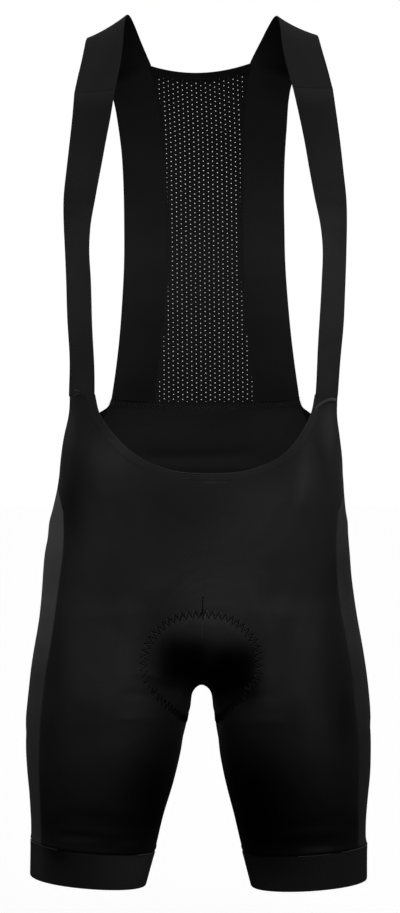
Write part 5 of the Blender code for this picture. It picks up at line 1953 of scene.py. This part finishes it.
@dataclass
class SeatPad:
    """The stitched-in pad: soft foam, thickest under the seat bones, with sewn channels."""

    shop: Workshop
    columns: int = 30
    rows: int = 72
    clearance: float = 2.1
    core: float = 8.0
    edge: float = 1.5
    half_width: float = 70.0
    end_rows: tuple[float, float] = (0.05, 0.1)
    channels: tuple[float, ...] = (0.30, 0.62)
    channel_depth: float = 0.55
    channel_width: float = 0.035
    zigzag: tuple[float, float] = (6.6, 8.4)    # pitch and width of the stitches round it

    def build(self) -> Object:
        """Make its four quarters as one piece."""
        figure = self.shop.figure
        share = lines(self.columns, self.half_width, first=False)
        crown = np.sqrt(np.clip(1 - share**2, 0.0, 1.0))
        sewn = sum(np.exp(-((share - at) / self.channel_width)**2) for at in self.channels)
        sheets = []
        for behind, table in ((False, PAD_FRONT), (True, PAD_BACK)):
            top, foot = min(table), max(table)
            even = top + (foot - top) * np.linspace(0.0, 1.0, self.rows + 1)
            ends = [end for step in self.end_rows for end in (top + step, foot - step)]
            rows = np.unique(np.concatenate((even, ends, [float(figure.crotch)])))
            reach = read_table(table, rows)
            around = figure.around_at_distance(rows, reach, behind)
            half = float(behind)
            places = spread(rows, half + (around[:, None] - half) * share)
            points, normals = figure.surface(places)
            normals[:, 0] = self._centre_normals(rows)[int(behind)]
            taper = np.clip(2 * reach / reach.max(), 0.0, 1.0)[:, None]
            foam = (self.core - self.edge) * crown * taper
            wall = self.edge + foam * (1 - self.channel_depth * sewn)
            points = points - self.clearance * normals
            for hand in Hand:
                sheets.append(Cloth("seat_pad", hand.mirror(points), hand.mirror(normals), wall))
        return self.shop.add(sheets, "seat_pad", "pad_foam", "pad")

    def _centre_normals(self, rows: Array) -> tuple[Array, Array]:
        """Normals along the centre seam and the inseams, shared by quarters that meet there."""
        figure = self.shop.figure
        ends = []
        for side in (0.0, 1.0):
            normals = figure.normals(rows, side)
            normals[rows <= figure.crotch, 0] = 0.0
            ends.append(unit(normals))
        both = unit(ends[0] + ends[1])
        joined = (rows >= figure.crotch)[:, None]
        return np.where(joined, both, ends[0]), np.where(joined, both, ends[1])

    def stitch(self) -> None:
        """The zigzag round the pad, outside: black thread, with grey thread as its painted highlights.
        """
        skin = self.shop.skin
        for behind in (False, True):
            for hand in Hand:
                path, normals = skin.at(skin.pads[behind].places, hand)
                self.shop.pale.zigzag(path, normals, *self.zigzag, lift=0.15,
                                      start=0.25 * self.zigzag[0])
                self.shop.bold.zigzag(path, normals, *self.zigzag, lift=0.5)


# ------------ studio

@dataclass
class Studio:
    """Camera, a plain pale floor and soft light."""

    distance: float = 3.0
    height: float = -0.4537
    aim_x: float = -0.0036
    seen_height: float = 0.9404
    floor_z: float = -1.2
    floor_glow: float = 0.39
    floor_size: float = 40.0
    sky: float = 1.0
    below: float = 0.05
    aside: float = 0.25
    sun: float = 0.8
    sun_softness: float = 40.0
    sun_tilt: float = 56.0
    sun_turn: float = 14.0
    sensor: float = 36.0

    def build(self) -> None:
        """Make the camera, the world, the light and the floor."""
        self._camera()
        self._world()
        self._light()
        self._floor()
        bpy.context.scene.view_settings.view_transform = "Standard"

    def _camera(self) -> None:
        """A level camera that looks at the middle of the garment."""
        data = bpy.data.cameras.new("camera")
        data.sensor_width = self.sensor
        data.lens = self.sensor * self.distance / self.seen_height
        camera = bpy.data.objects.new("camera", data)
        bpy.context.scene.collection.objects.link(camera)
        camera.location = (self.aim_x, -self.distance, self.height)
        camera.rotation_euler = (math.radians(90.0), 0.0, 0.0)
        bpy.context.scene.camera = camera

    def _world(self) -> None:
        """White light from the front and above, little from elsewhere, white behind everything."""
        world = bpy.data.worlds.new("studio")
        graph = Graph(world, "Background")
        place = graph.add("ShaderNodeTexCoord", {})
        split = graph.add("ShaderNodeSeparateXYZ", {0: place.outputs["Generated"]})
        up, ahead = (
            graph.add("ShaderNodeMapRange", {0: split.outputs[axis], 1: start, 2: end, 3: low, 4: high})
            for axis, start, end, low, high in (("Z", -0.25, 0.15, self.below, self.sky),
                                                ("Y", 0.3, -0.8, self.aside, 1.0)))
        both = graph.add("ShaderNodeMath", {0: up.outputs[0], 1: ahead.outputs[0]},
                         operation="MULTIPLY")
        path = graph.add("ShaderNodeLightPath", {})
        level = graph.add("ShaderNodeMath", {0: both.outputs[0], 1: path.outputs["Is Camera Ray"]},
                          operation="MAXIMUM")
        graph.feed(graph.shader, {"Strength": level.outputs[0], "Color": WHITE})
        bpy.context.scene.world = world

    def _light(self) -> None:
        """One broad key light, high and to the front right."""
        data = bpy.data.lights.new("key", "SUN")
        data.energy = self.sun
        data.angle = math.radians(self.sun_softness)
        light = bpy.data.objects.new("key", data)
        light.rotation_euler = (math.radians(self.sun_tilt), 0.0, math.radians(self.sun_turn))
        bpy.context.scene.collection.objects.link(light)

    def _floor(self) -> None:
        """A wide pale floor, lit through from below, that throws no light back on the cloth."""
        bm = bmesh.new()
        bmesh.ops.create_grid(bm, x_segments=1, y_segments=1, size=self.floor_size)
        for vert in bm.verts:
            vert.co.z = self.floor_z
        material = bpy.data.materials.new("pale_floor")
        graph = Graph(material)
        graph.feed(graph.shader, {"Base Color": PALE, "Roughness": 0.9, "Specular IOR Level": 0.1,
                                  "Emission Color": PALE, "Emission Strength": self.floor_glow})
        floor = finished("floor", bm, material)
        floor.visible_diffuse = False
        floor.visible_glossy = False


def main() -> None:
    logging.basicConfig(level=logging.INFO, format="%(name)s: %(message)s")
    figure = Figure()
    finishes = Finishes()
    cloth = {name: getattr(finishes, name).make()
             for name in ("panel", "side", "bib", "mesh", "strap", "binding", "gripper", "pad")}
    shop = Workshop(Skin(figure), Pattern(figure), cloth, Thread("dark_stitching"),
                    Thread("grey_stitching"), Thread("pad_stitching", radius=0.62),
                    Thread("pad_grey_stitching", radius=0.36))
    sheets = Panels(shop).build()
    sheets.append(BackWaist(shop).build())
    sheets += Grippers(shop).build()
    sheets += Bib(shop).build()
    mesh, (mesh_flat, mesh_area) = Mesh(shop).build()
    bands = NeckBands(shop).build()
    pad = SeatPad(shop)
    padding = pad.build()
    pad.stitch()
    for thread, yarn in ((shop.dark, finishes.thread), (shop.bold, finishes.bold),
                         (shop.pale, finishes.pale), (shop.bright, finishes.bright)):
        thread.build(yarn.make())
    for piece, grid in sheets:
        flat, area = grid.flat()
    Studio().build()
    bpy.context.view_layer.update()


if __name__ == "__main__":
    main()
